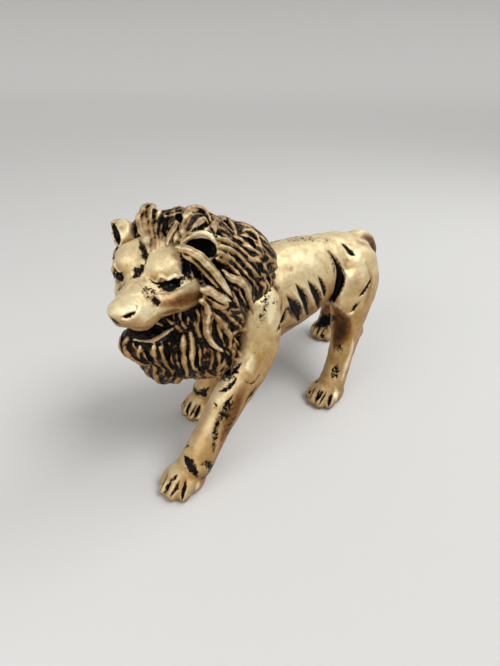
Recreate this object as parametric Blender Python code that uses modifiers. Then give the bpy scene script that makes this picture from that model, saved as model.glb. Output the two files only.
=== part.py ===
"""Striding lion figure, about 206 mm long, cast in separate pieces that plug together and are glued.

Frame: +Z up, the lion faces -Y, its left side is +X, and it stands on Z = 0.
The body, the head and the mane are each blocked out from lofts and ellipsoids, fused by a
voxel remesh and thinned, and then split along the seams where the castings meet.
"""

import math
import random

import bmesh
import bpy
import numpy as np
from mathutils import Matrix, Vector

MM = 0.001

# Overall sizes. Places in the body's tables are shares of these three.
STANCE_WIDTH = 50 * MM
TRUNK_LENGTH = 100 * MM
WITHERS_HEIGHT = 100 * MM

# The head's tables are shares of this, measured from the point between the eyes.
HEAD_SIZE = 40 * MM
HEAD_YAW = math.radians(20)

# Thicknesses of the trunk, limbs and tail
TRUNK_WIDTH = 42 * MM
NECK_THICKNESS = 38 * MM
LEG_THICKNESS = 17 * MM
TAIL_THICKNESS = 7.5 * MM

# Paws
PAW_LENGTH = 25 * MM
PAW_WIDTH = 20.5 * MM
PAW_HEIGHT = 14.5 * MM
TOE_THICKNESS = 6.6 * MM
TOE_SLOT_WIDTH = 1.2 * MM

# Mane
MANE_WIDTH = 60 * MM
MANE_DEPTH = 54 * MM
MANE_HEIGHT = 66 * MM
LOCK_THICKNESS = 6.2 * MM
LOCK_LENGTH = 30 * MM
LOCK_STEP = 2.5 * MM
LOCK_RISE = 1.0 * MM
MANE_BLEND = 1.5 * MM
LOCK_SEED = 11
LOCK_SWAY_SHARE = 0.5
LOCK_WAVES = 1.1
# How plump a lock is at its root and tip, as shares of a half wave, and how flat it lies
LOCK_ROOT_SHARE = 0.22
LOCK_TIP_SHARE = 0.98
LOCK_FLATNESS_SHARE = 0.85
LOCK_FULLNESS = 0.7
FLOW_HIGH_SHARE = 1.25
FLOW_LOW_SHARE = 0.62
FLOW_BACK_SHARE = 1.0
FLOW_LIFT_SHARE = 0.65
CURL_TAPER_SHARES = (0.9, 1.0, 0.35)
MANE_SEAM_SHARE = -0.02
CREST_WIDTH = 26 * MM
CREST_FLOOR_SHARE = 1.06
RUFF_TOP_SHARE = 0.73

# Ears and eyes
EAR_WIDTH = 13 * MM
EAR_WALL = 2.2 * MM
EYE_DIAMETER = 6.6 * MM
EYE_STEM_DIAMETER = 2.6 * MM
EYE_STEM_LENGTH = 5 * MM

# Seams, and the spigots and sockets that hold the castings together
SEAM_GAP = 0.3 * MM
SKIN_CLEARANCE = 0.38 * MM
LEG_SEAM_OFFSET = 11 * MM
FRONT_SEAM_RADIUS = 17 * MM
HIND_SEAM_LENGTH = 48 * MM
HIND_SEAM_HEIGHT = 40 * MM
LEG_SPIGOT_DIAMETER = 7 * MM
LEG_SPIGOT_LENGTH = 6 * MM
NECK_SPIGOT_DIAMETER = 14 * MM
NECK_SPIGOT_LENGTH = 7 * MM
TAIL_SPIGOT_DIAMETER = 3.4 * MM
TAIL_SPIGOT_LENGTH = 6 * MM
DOWEL_DIAMETER = 4 * MM
DOWEL_REACH = 5 * MM
OVERRUN = 60 * MM

# Grooves cut in the flanks
RIB_SLOT_WIDTH = 2.4 * MM
RIB_SLOT_DEPTH = 1.5 * MM
FLANK_FOLD_WIDTH = 3.4 * MM
FLANK_FOLD_DEPTH = 2.2 * MM
GROOVE_END_SHARE = 0.6

# Meshing
BODY_VOXEL = 1.2 * MM
HEAD_VOXEL = 0.8 * MM
MANE_VOXEL = 0.95 * MM
WELD_DISTANCE = 0.001 * MM
RING_SIDES = 16
# How many times a fused surface is relaxed: the limbs before the paws join, the whole body and the head
LIMB_SMOOTHING = 8
FINE_SMOOTHING = 3
HEAD_SMOOTHING = 7
BODY_FACES = 2100
HEAD_FACES = 900
JAW_FACES = 300
MANE_FACES = 3000
DOME_ANGLES = (math.radians(35), math.radians(65))

# Finishes: colour, metallic share and roughness
GOLD_FINISH = ((0.62, 0.46, 0.22, 1), 0.6, 0.35)
EYE_FINISH = ((0.01, 0.01, 0.01, 1), 0.0, 0.08)

SKIN_MARK = "grazing_skin"
UP = Vector((0, 0, 1))
LEFT = Vector((1, 0, 0))
BACK = Vector((0, 1, 0))

# Trunk stations: place along the length, top and underside as height shares, half width share
TRUNK_SHARES = (
    (-0.30, 0.90, 0.56, 0.60),
    (-0.20, 0.96, 0.50, 0.82),
    (-0.05, 1.0, 0.47, 0.98),
    (0.12, 1.01, 0.48, 1.0),
    (0.28, 1.005, 0.50, 0.98),
    (0.44, 0.995, 0.515, 0.92),
    (0.58, 0.98, 0.55, 0.80),
    (0.72, 0.96, 0.60, 0.76),
    (0.86, 0.935, 0.62, 0.80),
    (0.98, 0.90, 0.68, 0.66),
    (1.02, 0.865, 0.73, 0.36),
)

# Limb stations: side, length and height shares, then half width and half depth shares
FRONT_LEFT_SHARES = (
    (0.30, -0.04, 0.82, 0.62, 0.80),
    (0.38, -0.06, 0.70, 0.62, 0.72),
    (0.42, -0.09, 0.60, 0.57, 0.64),
    (0.42, -0.165, 0.50, 0.53, 0.60),
    (0.42, -0.27, 0.40, 0.50, 0.53),
    (0.41, -0.355, 0.30, 0.49, 0.49),
    (0.405, -0.43, 0.20, 0.48, 0.47),
    (0.40, -0.50, 0.11, 0.50, 0.46),
)
FRONT_RIGHT_SHARES = (
    (-0.30, -0.04, 0.82, 0.62, 0.80),
    (-0.38, -0.02, 0.70, 0.62, 0.74),
    (-0.40, 0.02, 0.58, 0.57, 0.66),
    (-0.41, 0.04, 0.46, 0.52, 0.58),
    (-0.42, 0.02, 0.34, 0.49, 0.52),
    (-0.42, -0.02, 0.22, 0.48, 0.48),
    (-0.42, -0.075, 0.12, 0.50, 0.46),
)
HIND_LEFT_SHARES = (
    (0.24, 0.84, 0.80, 0.55, 1.00),
    (0.30, 0.80, 0.68, 0.66, 1.16),
    (0.36, 0.73, 0.57, 0.60, 0.98),
    (0.40, 0.685, 0.47, 0.52, 0.72),
    (0.42, 0.67, 0.38, 0.47, 0.58),
    (0.43, 0.63, 0.28, 0.44, 0.48),
    (0.44, 0.59, 0.18, 0.43, 0.45),
    (0.45, 0.545, 0.10, 0.48, 0.45),
)
HIND_RIGHT_SHARES = (
    (-0.24, 0.86, 0.80, 0.55, 1.00),
    (-0.32, 0.86, 0.68, 0.66, 1.14),
    (-0.38, 0.88, 0.57, 0.60, 0.96),
    (-0.44, 0.98, 0.46, 0.52, 0.70),
    (-0.50, 1.12, 0.36, 0.47, 0.56),
    (-0.54, 1.185, 0.26, 0.46, 0.49),
    (-0.57, 1.195, 0.16, 0.46, 0.47),
    (-0.58, 1.175, 0.09, 0.48, 0.45),
)
NECK_SHARES = (
    (0.00, 0.04, 0.80, 0.92, 0.98),
    (0.00, -0.14, 0.90, 0.90, 0.95),
    (-0.02, -0.30, 1.00, 0.84, 0.86),
    (-0.02, -0.46, 1.05, 0.76, 0.78),
)
TAIL_SHARES = (
    (0.0, 0.92, 0.86, 0.80, 0.80),
    (0.0, 1.02, 0.865, 0.66, 0.66),
    (0.0, 1.10, 0.84, 0.52, 0.52),
    (0.0, 1.165, 0.77, 0.47, 0.47),
    (-0.02, 1.19, 0.68, 0.44, 0.44),
    (-0.04, 1.20, 0.60, 0.42, 0.42),
    (-0.06, 1.21, 0.53, 0.60, 0.60),
    (-0.07, 1.20, 0.46, 0.56, 0.56),
    (-0.07, 1.19, 0.41, 0.24, 0.24),
)

# Bony points on the limbs: centre in body shares and half sizes in shares of the leg's thickness
LIMB_POINT_SHARES = (
    ((0.35, -0.045, 0.455), (0.28, 0.36, 0.48)),
    ((-0.36, 0.10, 0.46), (0.28, 0.36, 0.48)),
    ((0.43, 0.755, 0.40), (0.30, 0.34, 0.42)),
    ((-0.50, 1.19, 0.38), (0.30, 0.34, 0.42)),
    ((0.41, -0.485, 0.135), (0.52, 0.50, 0.36)),
    ((-0.42, -0.06, 0.14), (0.52, 0.50, 0.36)),
)

# Paws: where the middle toes end, and how many degrees the paw turns outwards
PAW_PLACE_SHARES = (
    (0.38, -0.675, 3),
    (-0.44, -0.23, -3),
    (0.44, 0.395, 3),
    (-0.58, 1.035, -2),
)
# Toes across the paw: side share of its width, reach share of its length, thickness share
TOE_SHARES = (
    (-0.35, -0.12, 0.88),
    (-0.125, 0.0, 1.0),
    (0.125, 0.0, 1.0),
    (0.35, -0.12, 0.88),
)
# One toe from its tip: side share of its place, length and height shares, thickness share
TOE_PATH_SHARES = (
    (1.0, 0.13, 0.22, 0.50),
    (0.92, 0.32, 0.50, 0.54),
    (0.70, 0.58, 0.62, 0.50),
)
# Slots between the toes: side shares, then the slot's centre and half sizes along and up the paw
TOE_SLOT_SIDE_SHARES = (-0.24, 0.0, 0.24)
TOE_SLOT_CENTRE_SHARES = (0.10, 0.30)
TOE_SLOT_HALF_SHARES = (0.24, 0.36)
# The paw's pad: half sizes and centre as shares of its width, length and height
PAD_HALF_SHARES = (0.47, 0.42, 0.60)
PAD_CENTRE_SHARES = (0.0, 0.56, 0.40)

# Grooves down each flank: (length, height) shares from top to bottom
RIB_SLOT_SHARES = (
    ((0.085, 0.80), (0.105, 0.755), (0.10, 0.71)),
    ((0.12, 0.84), (0.175, 0.79), (0.20, 0.72)),
    ((0.185, 0.85), (0.24, 0.79), (0.265, 0.71)),
    ((0.285, 0.86), (0.33, 0.80), (0.355, 0.72)),
    ((0.35, 0.855), (0.40, 0.81), (0.42, 0.76)),
)
FLANK_FOLD_SHARES = ((0.48, 0.93), (0.545, 0.87), (0.57, 0.80), (0.565, 0.735), (0.545, 0.68))

# Seam outlines of the legs in length and height shares: an arc over the joint and a skirt below it
SEAM_ARC_ANGLES = tuple(math.radians(a) for a in range(-20, 201, 20))
LEG_SEAM_SHARES = {
    "front_left_leg": (
        (-0.06, 0.69),
        ((-0.90, 0.44), (-0.90, -0.10), (0.35, -0.10), (0.35, 0.42), (0.08, 0.455), (0.07, 0.56)),
    ),
    "front_right_leg": (
        (-0.02, 0.69),
        ((-0.40, 0.44), (-0.40, -0.10), (0.35, -0.10), (0.35, 0.42), (0.19, 0.45), (0.17, 0.56)),
    ),
    "hind_left_leg": (
        (0.81, 0.69),
        ((0.53, 0.55), (0.48, 0.44), (0.37, 0.36), (0.37, -0.10), (1.50, -0.10), (1.50, 0.54), (1.10, 0.58)),
    ),
    "hind_right_leg": (
        (0.86, 0.69),
        ((0.62, 0.57), (0.66, 0.46), (0.80, 0.36), (0.80, -0.10), (1.50, -0.10), (1.50, 0.54), (1.12, 0.58)),
    ),
}

# Where the leg spigots and the dowels across the body's seam sit, in length and height shares
FRONT_SPIGOT_SHARES = (-0.05, 0.72)
HIND_SPIGOT_SHARES = (0.82, 0.74)
DOWEL_SHARES = ((0.00, 0.90), (0.26, 0.60), (0.66, 0.88))
TAIL_SEAM_SHARE = 1.065

# The point between the eyes, in body shares
HEAD_ORIGIN_SHARES = (0.04, -0.56, 1.048)
# Head forms: centre (side, forward, up) and half sizes
HEAD_BLOB_SHARES = (
    ((0.0, -0.32, 0.05), (0.46, 0.42, 0.38)),
    ((0.0, -0.20, 0.21), (0.34, 0.28, 0.19)),
    ((0.0, -0.09, 0.16), (0.26, 0.17, 0.17)),
    ((0.0, 0.485, -0.115), (0.15, 0.09, 0.09)),
)
HEAD_PAIR_SHARES = (
    ((0.215, -0.05, 0.19), (0.19, 0.19, 0.16)),
    ((0.105, 0.28, -0.24), (0.125, 0.21, 0.16)),
    ((0.345, -0.13, -0.15), (0.14, 0.33, 0.165)),
    ((0.24, 0.10, -0.17), (0.13, 0.22, 0.13)),
)
MUZZLE_SHARES = (
    (0.0, -0.15, -0.02, 0.34, 0.28),
    (0.0, 0.08, -0.07, 0.26, 0.215),
    (0.0, 0.24, -0.13, 0.215, 0.20),
    (0.0, 0.38, -0.16, 0.19, 0.17),
    (0.0, 0.48, -0.165, 0.16, 0.13),
    (0.0, 0.515, -0.16, 0.12, 0.09),
)
EYE_PLACE_SHARES = (0.285, 0.055, 0.005)
SOCKET_HALF_SHARES = (0.125, 0.13, 0.085)
NOSTRIL_SHARES = (
    (0.02, 0.585, -0.17, 0.012, 0.02),
    (0.08, 0.55, -0.165, 0.035, 0.022),
    (0.14, 0.44, -0.145, 0.02, 0.012),
)
MOUTH_SHARES = (
    (0.0, -0.16, -0.42, 0.26, 0.05),
    (0.0, 0.10, -0.47, 0.27, 0.10),
    (0.0, 0.46, -0.50, 0.21, 0.10),
)
JAW_SHARES = (
    (0.0, -0.30, -0.44, 0.29, 0.15),
    (0.0, -0.16, -0.535, 0.28, 0.12),
    (0.0, 0.02, -0.58, 0.24, 0.10),
    (0.0, 0.14, -0.60, 0.195, 0.09),
    (0.0, 0.19, -0.61, 0.15, 0.075),
)
JAW_HOLLOW_SHARES = ((0.0, 0.02, -0.47), (0.17, 0.17, 0.09))
HEAD_SEAM_SHARE = -0.30
NECK_SPIGOT_SHARES = (0.0, -0.30, 0.0)
NECK_FRONT_FLOOR_SHARE = -0.75
# Ears: where each sits, the way it opens, and its height, width and depth shares
EAR_PLACE_SHARES = {"ear_left": (0.53, -0.24, 0.37), "ear_right": (-0.46, -0.30, 0.34)}
EAR_HALF_SHARES = (0.66, 0.45, 0.48)
EAR_OPENING_SHARE = 0.60
EAR_SPLAY = math.radians(35)

# Mane forms in body shares: centre and half sizes as shares of the mane's width, depth and height
MANE_BLOB_SHARES = (
    ((-0.05, -0.27, 0.92), (0.44, 0.42, 0.42)),
    ((0.00, -0.09, 0.975), (0.37, 0.39, 0.29)),
    ((0.00, -0.29, 0.72), (0.36, 0.33, 0.36)),
    ((-0.05, -0.30, 1.155), (0.25, 0.28, 0.16)),
)
# The collar round the face, which turns with the head: centre in head shares and half sizes
COLLAR_CENTRE_SHARES = (0.0, -0.42, -0.08)
COLLAR_HALF_SHARES = (0.42, 0.21, 0.36)
# Rows of locks: how many, the angles they span round the face, how far back they start, length share
LOCK_ROW_SHARES = (
    (13, -2.70, 2.70, -0.14, 0.80),
    (15, -2.50, 2.50, -0.34, 0.95),
    (17, -2.45, 2.45, -0.66, 1.00),
    (15, -2.20, 2.20, -1.00, 1.00),
    (11, -1.80, 1.80, -1.34, 0.80),
)
# Curls of the forelock in head shares: start, middle, end and thickness share
FORELOCK_SHARES = (
    ((0.02, -0.08, 0.34), (0.00, -0.06, 0.54), (-0.04, -0.20, 0.70), 1.35),
    ((0.16, -0.22, 0.36), (0.20, -0.34, 0.56), (0.10, -0.56, 0.64), 1.10),
    ((-0.16, -0.24, 0.36), (-0.22, -0.36, 0.56), (-0.16, -0.58, 0.62), 1.10),
)
# Long locks beside the face, left side: start, middle, end in head shares and thickness share
FACE_LOCK_SHARES = (
    ((0.43, 0.00, 0.42), (0.64, -0.22, 0.20), (0.70, -0.60, -0.30), 1.15),
    ((0.50, -0.16, -0.10), (0.62, -0.34, -0.25), (0.68, -0.62, -0.42), 1.1),
    ((0.46, -0.10, -0.28), (0.60, -0.24, -0.60), (0.60, -0.44, -1.02), 1.0),
)
# The right side's locks mirror them and lie closer in
FACE_LOCK_SIDE_SHARES = (1.0, -0.72)
# Beard locks: side share, start and end (forward, up) in head shares and thickness share
BEARD_LOCK_SHARES = (
    (0.12, (-0.04, -0.66), (-0.10, -1.10), 1.30),
    (-0.12, (-0.04, -0.66), (-0.10, -1.08), 1.30),
    (0.32, (-0.14, -0.58), (-0.26, -1.26), 1.30),
    (-0.34, (-0.14, -0.58), (-0.26, -1.24), 1.30),
    (0.10, (-0.18, -0.80), (-0.34, -1.42), 1.30),
    (-0.16, (-0.18, -0.80), (-0.34, -1.40), 1.30),
)
# Locks of the chin tuft, in the same terms, which belong to the jaw's casting
CHIN_LOCK_SHARES = (
    (-0.12, (0.10, -0.62), (0.20, -0.82), 1.10),
    (0.02, (0.10, -0.62), (0.20, -0.86), 1.20),
    (0.14, (0.08, -0.62), (0.12, -0.86), 1.10),
)


def clear_scene():
    """Removes whatever the scene holds."""
    for obj in list(bpy.data.objects):
        bpy.data.objects.remove(obj)


def new_collection(name):
    """A new collection linked to the scene."""
    made = bpy.data.collections.new(name)
    bpy.context.scene.collection.children.link(made)
    return made


def object_from(bm, name, collection):
    """An object in the collection that holds the bmesh, which is freed."""
    bmesh.ops.triangulate(bm, faces=bm.faces)
    mesh = bpy.data.meshes.new(name)
    bm.to_mesh(mesh)
    bm.free()
    obj = bpy.data.objects.new(name, mesh)
    collection.objects.link(obj)
    return obj


def settle(obj):
    """Applies the object's modifiers to its mesh."""
    graph = bpy.context.evaluated_depsgraph_get()
    graph.update()
    mesh = bpy.data.meshes.new_from_object(obj.evaluated_get(graph))
    obj.modifiers.clear()
    obj.data = mesh
    return obj


def cutter_from(bm, name, collection):
    """A helper object, which is no part of the figure."""
    obj = object_from(bm, name, collection)
    obj.hide_render = True
    obj.display_type = "WIRE"
    return obj


def copy_of(obj, name, collection):
    """A copy of the object with its own mesh."""
    made = bpy.data.objects.new(name, obj.data.copy())
    made[SKIN_MARK] = obj.get(SKIN_MARK, False)
    collection.objects.link(made)
    return made


def keep_largest(obj):
    """Welds slivers and removes loose islands, so that one body is left."""
    bm = bmesh.new()
    bm.from_mesh(obj.data)
    bmesh.ops.remove_doubles(bm, verts=bm.verts, dist=WELD_DISTANCE)
    bmesh.ops.dissolve_degenerate(bm, edges=bm.edges, dist=WELD_DISTANCE)
    waiting = set(bm.verts)
    islands = []
    while waiting:
        queue = [waiting.pop()]
        island = []
        while queue:
            vert = queue.pop()
            island.append(vert)
            near = [edge.other_vert(vert) for edge in vert.link_edges]
            fresh = [other for other in near if other in waiting]
            waiting.difference_update(fresh)
            queue.extend(fresh)
        islands.append(island)
    islands.sort(key=len)
    for island in islands[:-1]:
        bmesh.ops.delete(bm, geom=island, context="VERTS")
    bmesh.ops.triangulate(bm, faces=bm.faces)
    bm.to_mesh(obj.data)
    bm.free()
    return obj


def boolean(obj, cutter, operation):
    """Joins, cuts or intersects the object with the cutter.

    The sculpted skins meet their clearance copies in long grazing seams, where the EXACT solver
    leaves open edges, so those objects carry a mark and take the MANIFOLD one.
    """
    modifier = obj.modifiers.new(operation.lower(), "BOOLEAN")
    modifier.object = cutter
    modifier.operation = operation
    modifier.solver = "MANIFOLD" if obj.get(SKIN_MARK) else "EXACT"
    return settle(obj)


def spline(stations, steps):
    """Catmull-Rom points through rows of numbers, with that many steps between rows."""
    rows = np.array(stations, float)
    padded = np.vstack([2 * rows[0] - rows[1], rows, 2 * rows[-1] - rows[-2]])
    made = []
    for i in range(1, len(padded) - 2):
        a, b, c, d = padded[i - 1:i + 3]
        for t in np.arange(steps) / steps:
            curve = 2 * b + (c - a) * t + (2 * a - 5 * b + 4 * c - d) * t ** 2
            made.append(0.5 * (curve + (3 * b - a - 3 * c + d) * t ** 3))
    made.append(rows[-1])
    return np.array(made)


def add_loft(bm, stations, side=LEFT, steps=3, sides=RING_SIDES):
    """A closed tube with oval rings and domed ends through rows of centre, half width and half depth."""
    rows = spline(stations, steps)
    centres = rows[:, :3]
    half_width = np.maximum(rows[:, 3], WELD_DISTANCE)
    half_depth = np.maximum(rows[:, 4], WELD_DISTANCE)
    tangents = np.gradient(centres, axis=0)
    tangents /= np.linalg.norm(tangents, axis=1)[:, None]
    rings = list(zip(centres, tangents, half_width, half_depth))
    for end, sign in ((0, -1), (-1, 1)):
        c, t, w, d = centres[end], tangents[end], half_width[end], half_depth[end]
        for angle in DOME_ANGLES:
            ring = (c + sign * t * math.sin(angle) * min(w, d), t, w * math.cos(angle), d * math.cos(angle))
            rings.insert(0 if sign < 0 else len(rings), ring)
    angles = np.arange(sides) * 2 * math.pi / sides
    loops = []
    for centre, tangent, width, depth in rings:
        across = np.array(side) - np.dot(side, tangent) * tangent
        across /= np.linalg.norm(across)
        upward = np.cross(tangent, across)
        loops.append([
            bm.verts.new(centre + across * width * math.cos(a) + upward * depth * math.sin(a))
            for a in angles
        ])
    for first, second in zip(loops, loops[1:]):
        for i in range(sides):
            j = (i + 1) % sides
            bm.faces.new((first[i], first[j], second[j], second[i]))
    bm.faces.new(list(reversed(loops[0])))
    bm.faces.new(loops[-1])


def add_ellipsoid(bm, centre, radii, turn=None):
    """An ellipsoid with the given half sizes."""
    matrix = Matrix.Translation(centre)
    if turn is not None:
        matrix = matrix @ turn.to_4x4()
    matrix = matrix @ Matrix.Diagonal((*radii, 1))
    bmesh.ops.create_uvsphere(bm, u_segments=RING_SIDES, v_segments=RING_SIDES // 2, radius=1, matrix=matrix)


def add_bar(bm, start, direction, diameter, length):
    """A round bar that starts at a point and runs along a direction."""
    turn = Vector(direction).to_track_quat("Z", "Y").to_matrix().to_4x4()
    matrix = Matrix.Translation(start) @ turn @ Matrix.Translation(UP * length / 2)
    bmesh.ops.create_cone(
        bm, cap_ends=True, segments=RING_SIDES, radius1=diameter / 2, radius2=diameter / 2,
        depth=length, matrix=matrix,
    )


def add_box(bm, low, high, turn=None, about=None):
    """A box between two corners, turned about a point if asked."""
    low, high = Vector(low), Vector(high)
    matrix = Matrix.Translation((low + high) / 2) @ Matrix.Diagonal((*(high - low), 1))
    if turn is not None:
        matrix = Matrix.Translation(about) @ turn.to_4x4() @ matrix
    bmesh.ops.create_cube(bm, size=1, matrix=matrix)


def fuse(obj, voxel, smoothing):
    """Fuses overlapping forms by a voxel remesh and relaxes the surface."""
    remesh = obj.modifiers.new("fuse", "REMESH")
    remesh.mode = "VOXEL"
    remesh.voxel_size = voxel
    relax = obj.modifiers.new("relax", "SMOOTH")
    relax.factor = 0.5
    relax.iterations = smoothing
    settle(obj)
    return keep_largest(obj)


def sculpt(obj, voxel, smoothing, faces):
    """Fuses and relaxes forms and thins them to a face count."""
    fuse(obj, voxel, smoothing)
    thin = obj.modifiers.new("thin", "DECIMATE")
    thin.ratio = min(1.0, faces / len(obj.data.polygons))
    settle(obj)
    return keep_largest(obj)


def grown(obj, distance, collection):
    """A helper copy whose surface stands out by a distance, to cut what fits against it."""
    made = copy_of(obj, obj.name + "_clearance", collection)
    made.hide_render = True
    made.display_type = "WIRE"
    swell = made.modifiers.new("swell", "DISPLACE")
    swell.mid_level = 0
    swell.strength = distance
    return settle(made)


def body_point(side, along, height):
    """A place in the figure's frame from stance, trunk and withers shares."""
    return Vector((side * STANCE_WIDTH, along * TRUNK_LENGTH, height * WITHERS_HEIGHT))


def head_turn():
    """The head's axes as columns: its left, its forward and up."""
    left = Vector((math.cos(HEAD_YAW), math.sin(HEAD_YAW), 0))
    forward = Vector((math.sin(HEAD_YAW), -math.cos(HEAD_YAW), 0))
    return left, forward


def head_point(side, forward, up):
    """A place in the figure's frame from shares of the head's size."""
    left, ahead = head_turn()
    offset = left * side + ahead * forward + UP * up
    return body_point(*HEAD_ORIGIN_SHARES) + offset * HEAD_SIZE


def limb_rows(stations, thickness):
    """Loft rows from share rows: places in body shares and half sizes in shares of a thickness."""
    return [(*body_point(x, y, z), w * thickness, d * thickness) for x, y, z, w, d in stations]


def head_rows(stations):
    """Loft rows from rows of head shares."""
    return [(*head_point(x, y, z), w * HEAD_SIZE, d * HEAD_SIZE) for x, y, z, w, d in stations]


def turn_of_head():
    """The head's turn as a matrix that keeps handedness: side, backwards, up."""
    return Matrix.Rotation(HEAD_YAW, 3, "Z")


def add_trunk(bm):
    """The trunk's loft."""
    rows = []
    for along, top, bottom, width in TRUNK_SHARES:
        centre = body_point(0, along, (top + bottom) / 2)
        half_height = (top - bottom) / 2 * WITHERS_HEIGHT
        rows.append((*centre, width * TRUNK_WIDTH / 2, half_height))
    add_loft(bm, rows)


def add_paw(bm, place):
    """A paw with a domed pad and four toes."""
    side, along, turn = place
    tip = body_point(side, along, 0)
    spin = Matrix.Rotation(math.radians(turn), 3, "Z")
    size = np.array((PAW_WIDTH, PAW_LENGTH, PAW_HEIGHT))
    add_ellipsoid(bm, tip + spin @ Vector(size * PAD_CENTRE_SHARES), size * PAD_HALF_SHARES, spin)
    for across, reach, thick in TOE_SHARES:
        rows = []
        for aside, along_share, height_share, radius_share in TOE_PATH_SHARES:
            shares = (across * aside, along_share - reach, height_share)
            radius = TOE_THICKNESS * thick * radius_share
            rows.append((*(tip + spin @ Vector(size * shares)), radius, radius))
        add_loft(bm, rows, side=spin @ LEFT)


def add_toe_slots(bm, place):
    """Thin blades that part the toes of one paw."""
    side, along, turn = place
    tip = body_point(side, along, 0)
    spin = Matrix.Rotation(math.radians(turn), 3, "Z")
    size = np.array((PAW_WIDTH, PAW_LENGTH, PAW_HEIGHT))
    radii = (TOE_SLOT_WIDTH / 2, TOE_SLOT_HALF_SHARES[0] * PAW_LENGTH, TOE_SLOT_HALF_SHARES[1] * PAW_HEIGHT)
    for across in TOE_SLOT_SIDE_SHARES:
        centre = Vector(size * (across, *TOE_SLOT_CENTRE_SHARES))
        add_ellipsoid(bm, tip + spin @ centre, radii, spin)


def add_grooves(bm, body):
    """Rib slots and the fold before the thigh, laid along both flanks of the body."""
    for sign in (-1, 1):
        for path in RIB_SLOT_SHARES:
            add_groove(bm, body, path, sign, RIB_SLOT_WIDTH, RIB_SLOT_DEPTH)
        add_groove(bm, body, FLANK_FOLD_SHARES, sign, FLANK_FOLD_WIDTH, FLANK_FOLD_DEPTH)


def add_groove(bm, body, path, sign, width, depth):
    """A spindle half sunk in the flank, along a path of length and height shares."""
    rows = []
    for i, (along, height) in enumerate(path):
        place = body_point(0, along, height)
        hit, point, normal, face = body.ray_cast(place + sign * LEFT * OVERRUN, -sign * LEFT)
        swell = math.sin(math.pi * (i + GROOVE_END_SHARE) / (len(path) - 1 + 2 * GROOVE_END_SHARE))
        rows.append((*point, depth * swell, width / 2 * swell))
    add_loft(bm, rows, sides=RING_SIDES // 2)


def build_body(parts, cutters):
    """Trunk, neck, legs, paws and tail as one continuous form, cut flat at the ground."""
    bm = bmesh.new()
    add_trunk(bm)
    add_loft(bm, limb_rows(NECK_SHARES, NECK_THICKNESS / 2))
    for stations in (FRONT_LEFT_SHARES, FRONT_RIGHT_SHARES, HIND_LEFT_SHARES, HIND_RIGHT_SHARES):
        add_loft(bm, limb_rows(stations, LEG_THICKNESS))
    add_loft(bm, limb_rows(TAIL_SHARES, TAIL_THICKNESS))
    for centre, half in LIMB_POINT_SHARES:
        add_ellipsoid(bm, body_point(*centre), [h * LEG_THICKNESS for h in half])
    body = fuse(object_from(bm, "body", parts), BODY_VOXEL, LIMB_SMOOTHING)
    bm = bmesh.new()
    bm.from_mesh(body.data)
    for place in PAW_PLACE_SHARES:
        add_paw(bm, place)
    bm.to_mesh(body.data)
    bm.free()
    sculpt(body, BODY_VOXEL, FINE_SMOOTHING, BODY_FACES)
    bm = bmesh.new()
    add_box(bm, (-OVERRUN, -2 * OVERRUN, -OVERRUN), (OVERRUN, 4 * OVERRUN, 0))
    boolean(body, cutter_from(bm, "ground", cutters), "DIFFERENCE")
    bm = bmesh.new()
    add_grooves(bm, body)
    boolean(body, cutter_from(bm, "flank_grooves", cutters), "DIFFERENCE")
    bm = bmesh.new()
    for place in PAW_PLACE_SHARES:
        add_toe_slots(bm, place)
    boolean(body, cutter_from(bm, "toe_slots", cutters), "DIFFERENCE")
    high = (1, SEAM_GAP / HEAD_SIZE - HEAD_SEAM_SHARE, 2)
    head_box(body, (-1, -2, NECK_FRONT_FLOOR_SHARE), high, "DIFFERENCE", "neck_front", cutters)
    return keep_largest(body)


def seam_outline(name):
    """A leg's seam in the side view, as (y, z) points in metres."""
    centre, skirt = LEG_SEAM_SHARES[name]
    half = (FRONT_SEAM_RADIUS, FRONT_SEAM_RADIUS)
    if name.startswith("hind"):
        half = (HIND_SEAM_LENGTH / 2, HIND_SEAM_HEIGHT / 2)
    middle = body_point(0, *centre)
    arc = [(middle.y + half[0] * math.cos(a), middle.z + half[1] * math.sin(a)) for a in SEAM_ARC_ANGLES]
    return arc + [tuple(body_point(0, *share)[1:]) for share in skirt]


def grown_outline(points, distance):
    """The outline moved outwards; the points run anticlockwise."""
    made = []
    for i, point in enumerate(points):
        before, after = Vector(points[i - 1]), Vector(points[(i + 1) % len(points)])
        here = Vector(point)
        first, second = (here - before).normalized(), (after - here).normalized()
        outward = Vector((first.y, -first.x)) + Vector((second.y, -second.x))
        made.append(tuple(here + outward * distance / (1 + first.dot(second))))
    return made


def leg_zone(outline, sign, offset, name, cutters):
    """A prism over the outline, from the leg's seam plane outwards."""
    bm = bmesh.new()
    inner = [bm.verts.new((sign * offset, y, z)) for y, z in outline]
    outer = [bm.verts.new((sign * OVERRUN, y, z)) for y, z in outline]
    bm.faces.new(inner)
    bm.faces.new(list(reversed(outer)))
    for i, vert in enumerate(inner):
        j = (i + 1) % len(inner)
        bm.faces.new((inner[j], vert, outer[i], outer[j]))
    bmesh.ops.recalc_face_normals(bm, faces=bm.faces)
    return cutter_from(bm, name, cutters)


def spigot_pair(owner, host, start, direction, diameter, length, cutters):
    """Puts a spigot on the owner and its socket in the host. It starts one gap inside the owner."""
    direction = Vector(direction).normalized()
    root = start - direction * diameter / 2
    bm = bmesh.new()
    add_bar(bm, root, direction, diameter, length + diameter / 2)
    peg = cutter_from(bm, owner.name + "_spigot", cutters)
    bm = bmesh.new()
    add_bar(bm, root, direction, diameter + 2 * SEAM_GAP, length + diameter / 2 + SEAM_GAP)
    boolean(host, cutter_from(bm, owner.name + "_socket", cutters), "DIFFERENCE")
    return boolean(owner, peg, "UNION")


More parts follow.
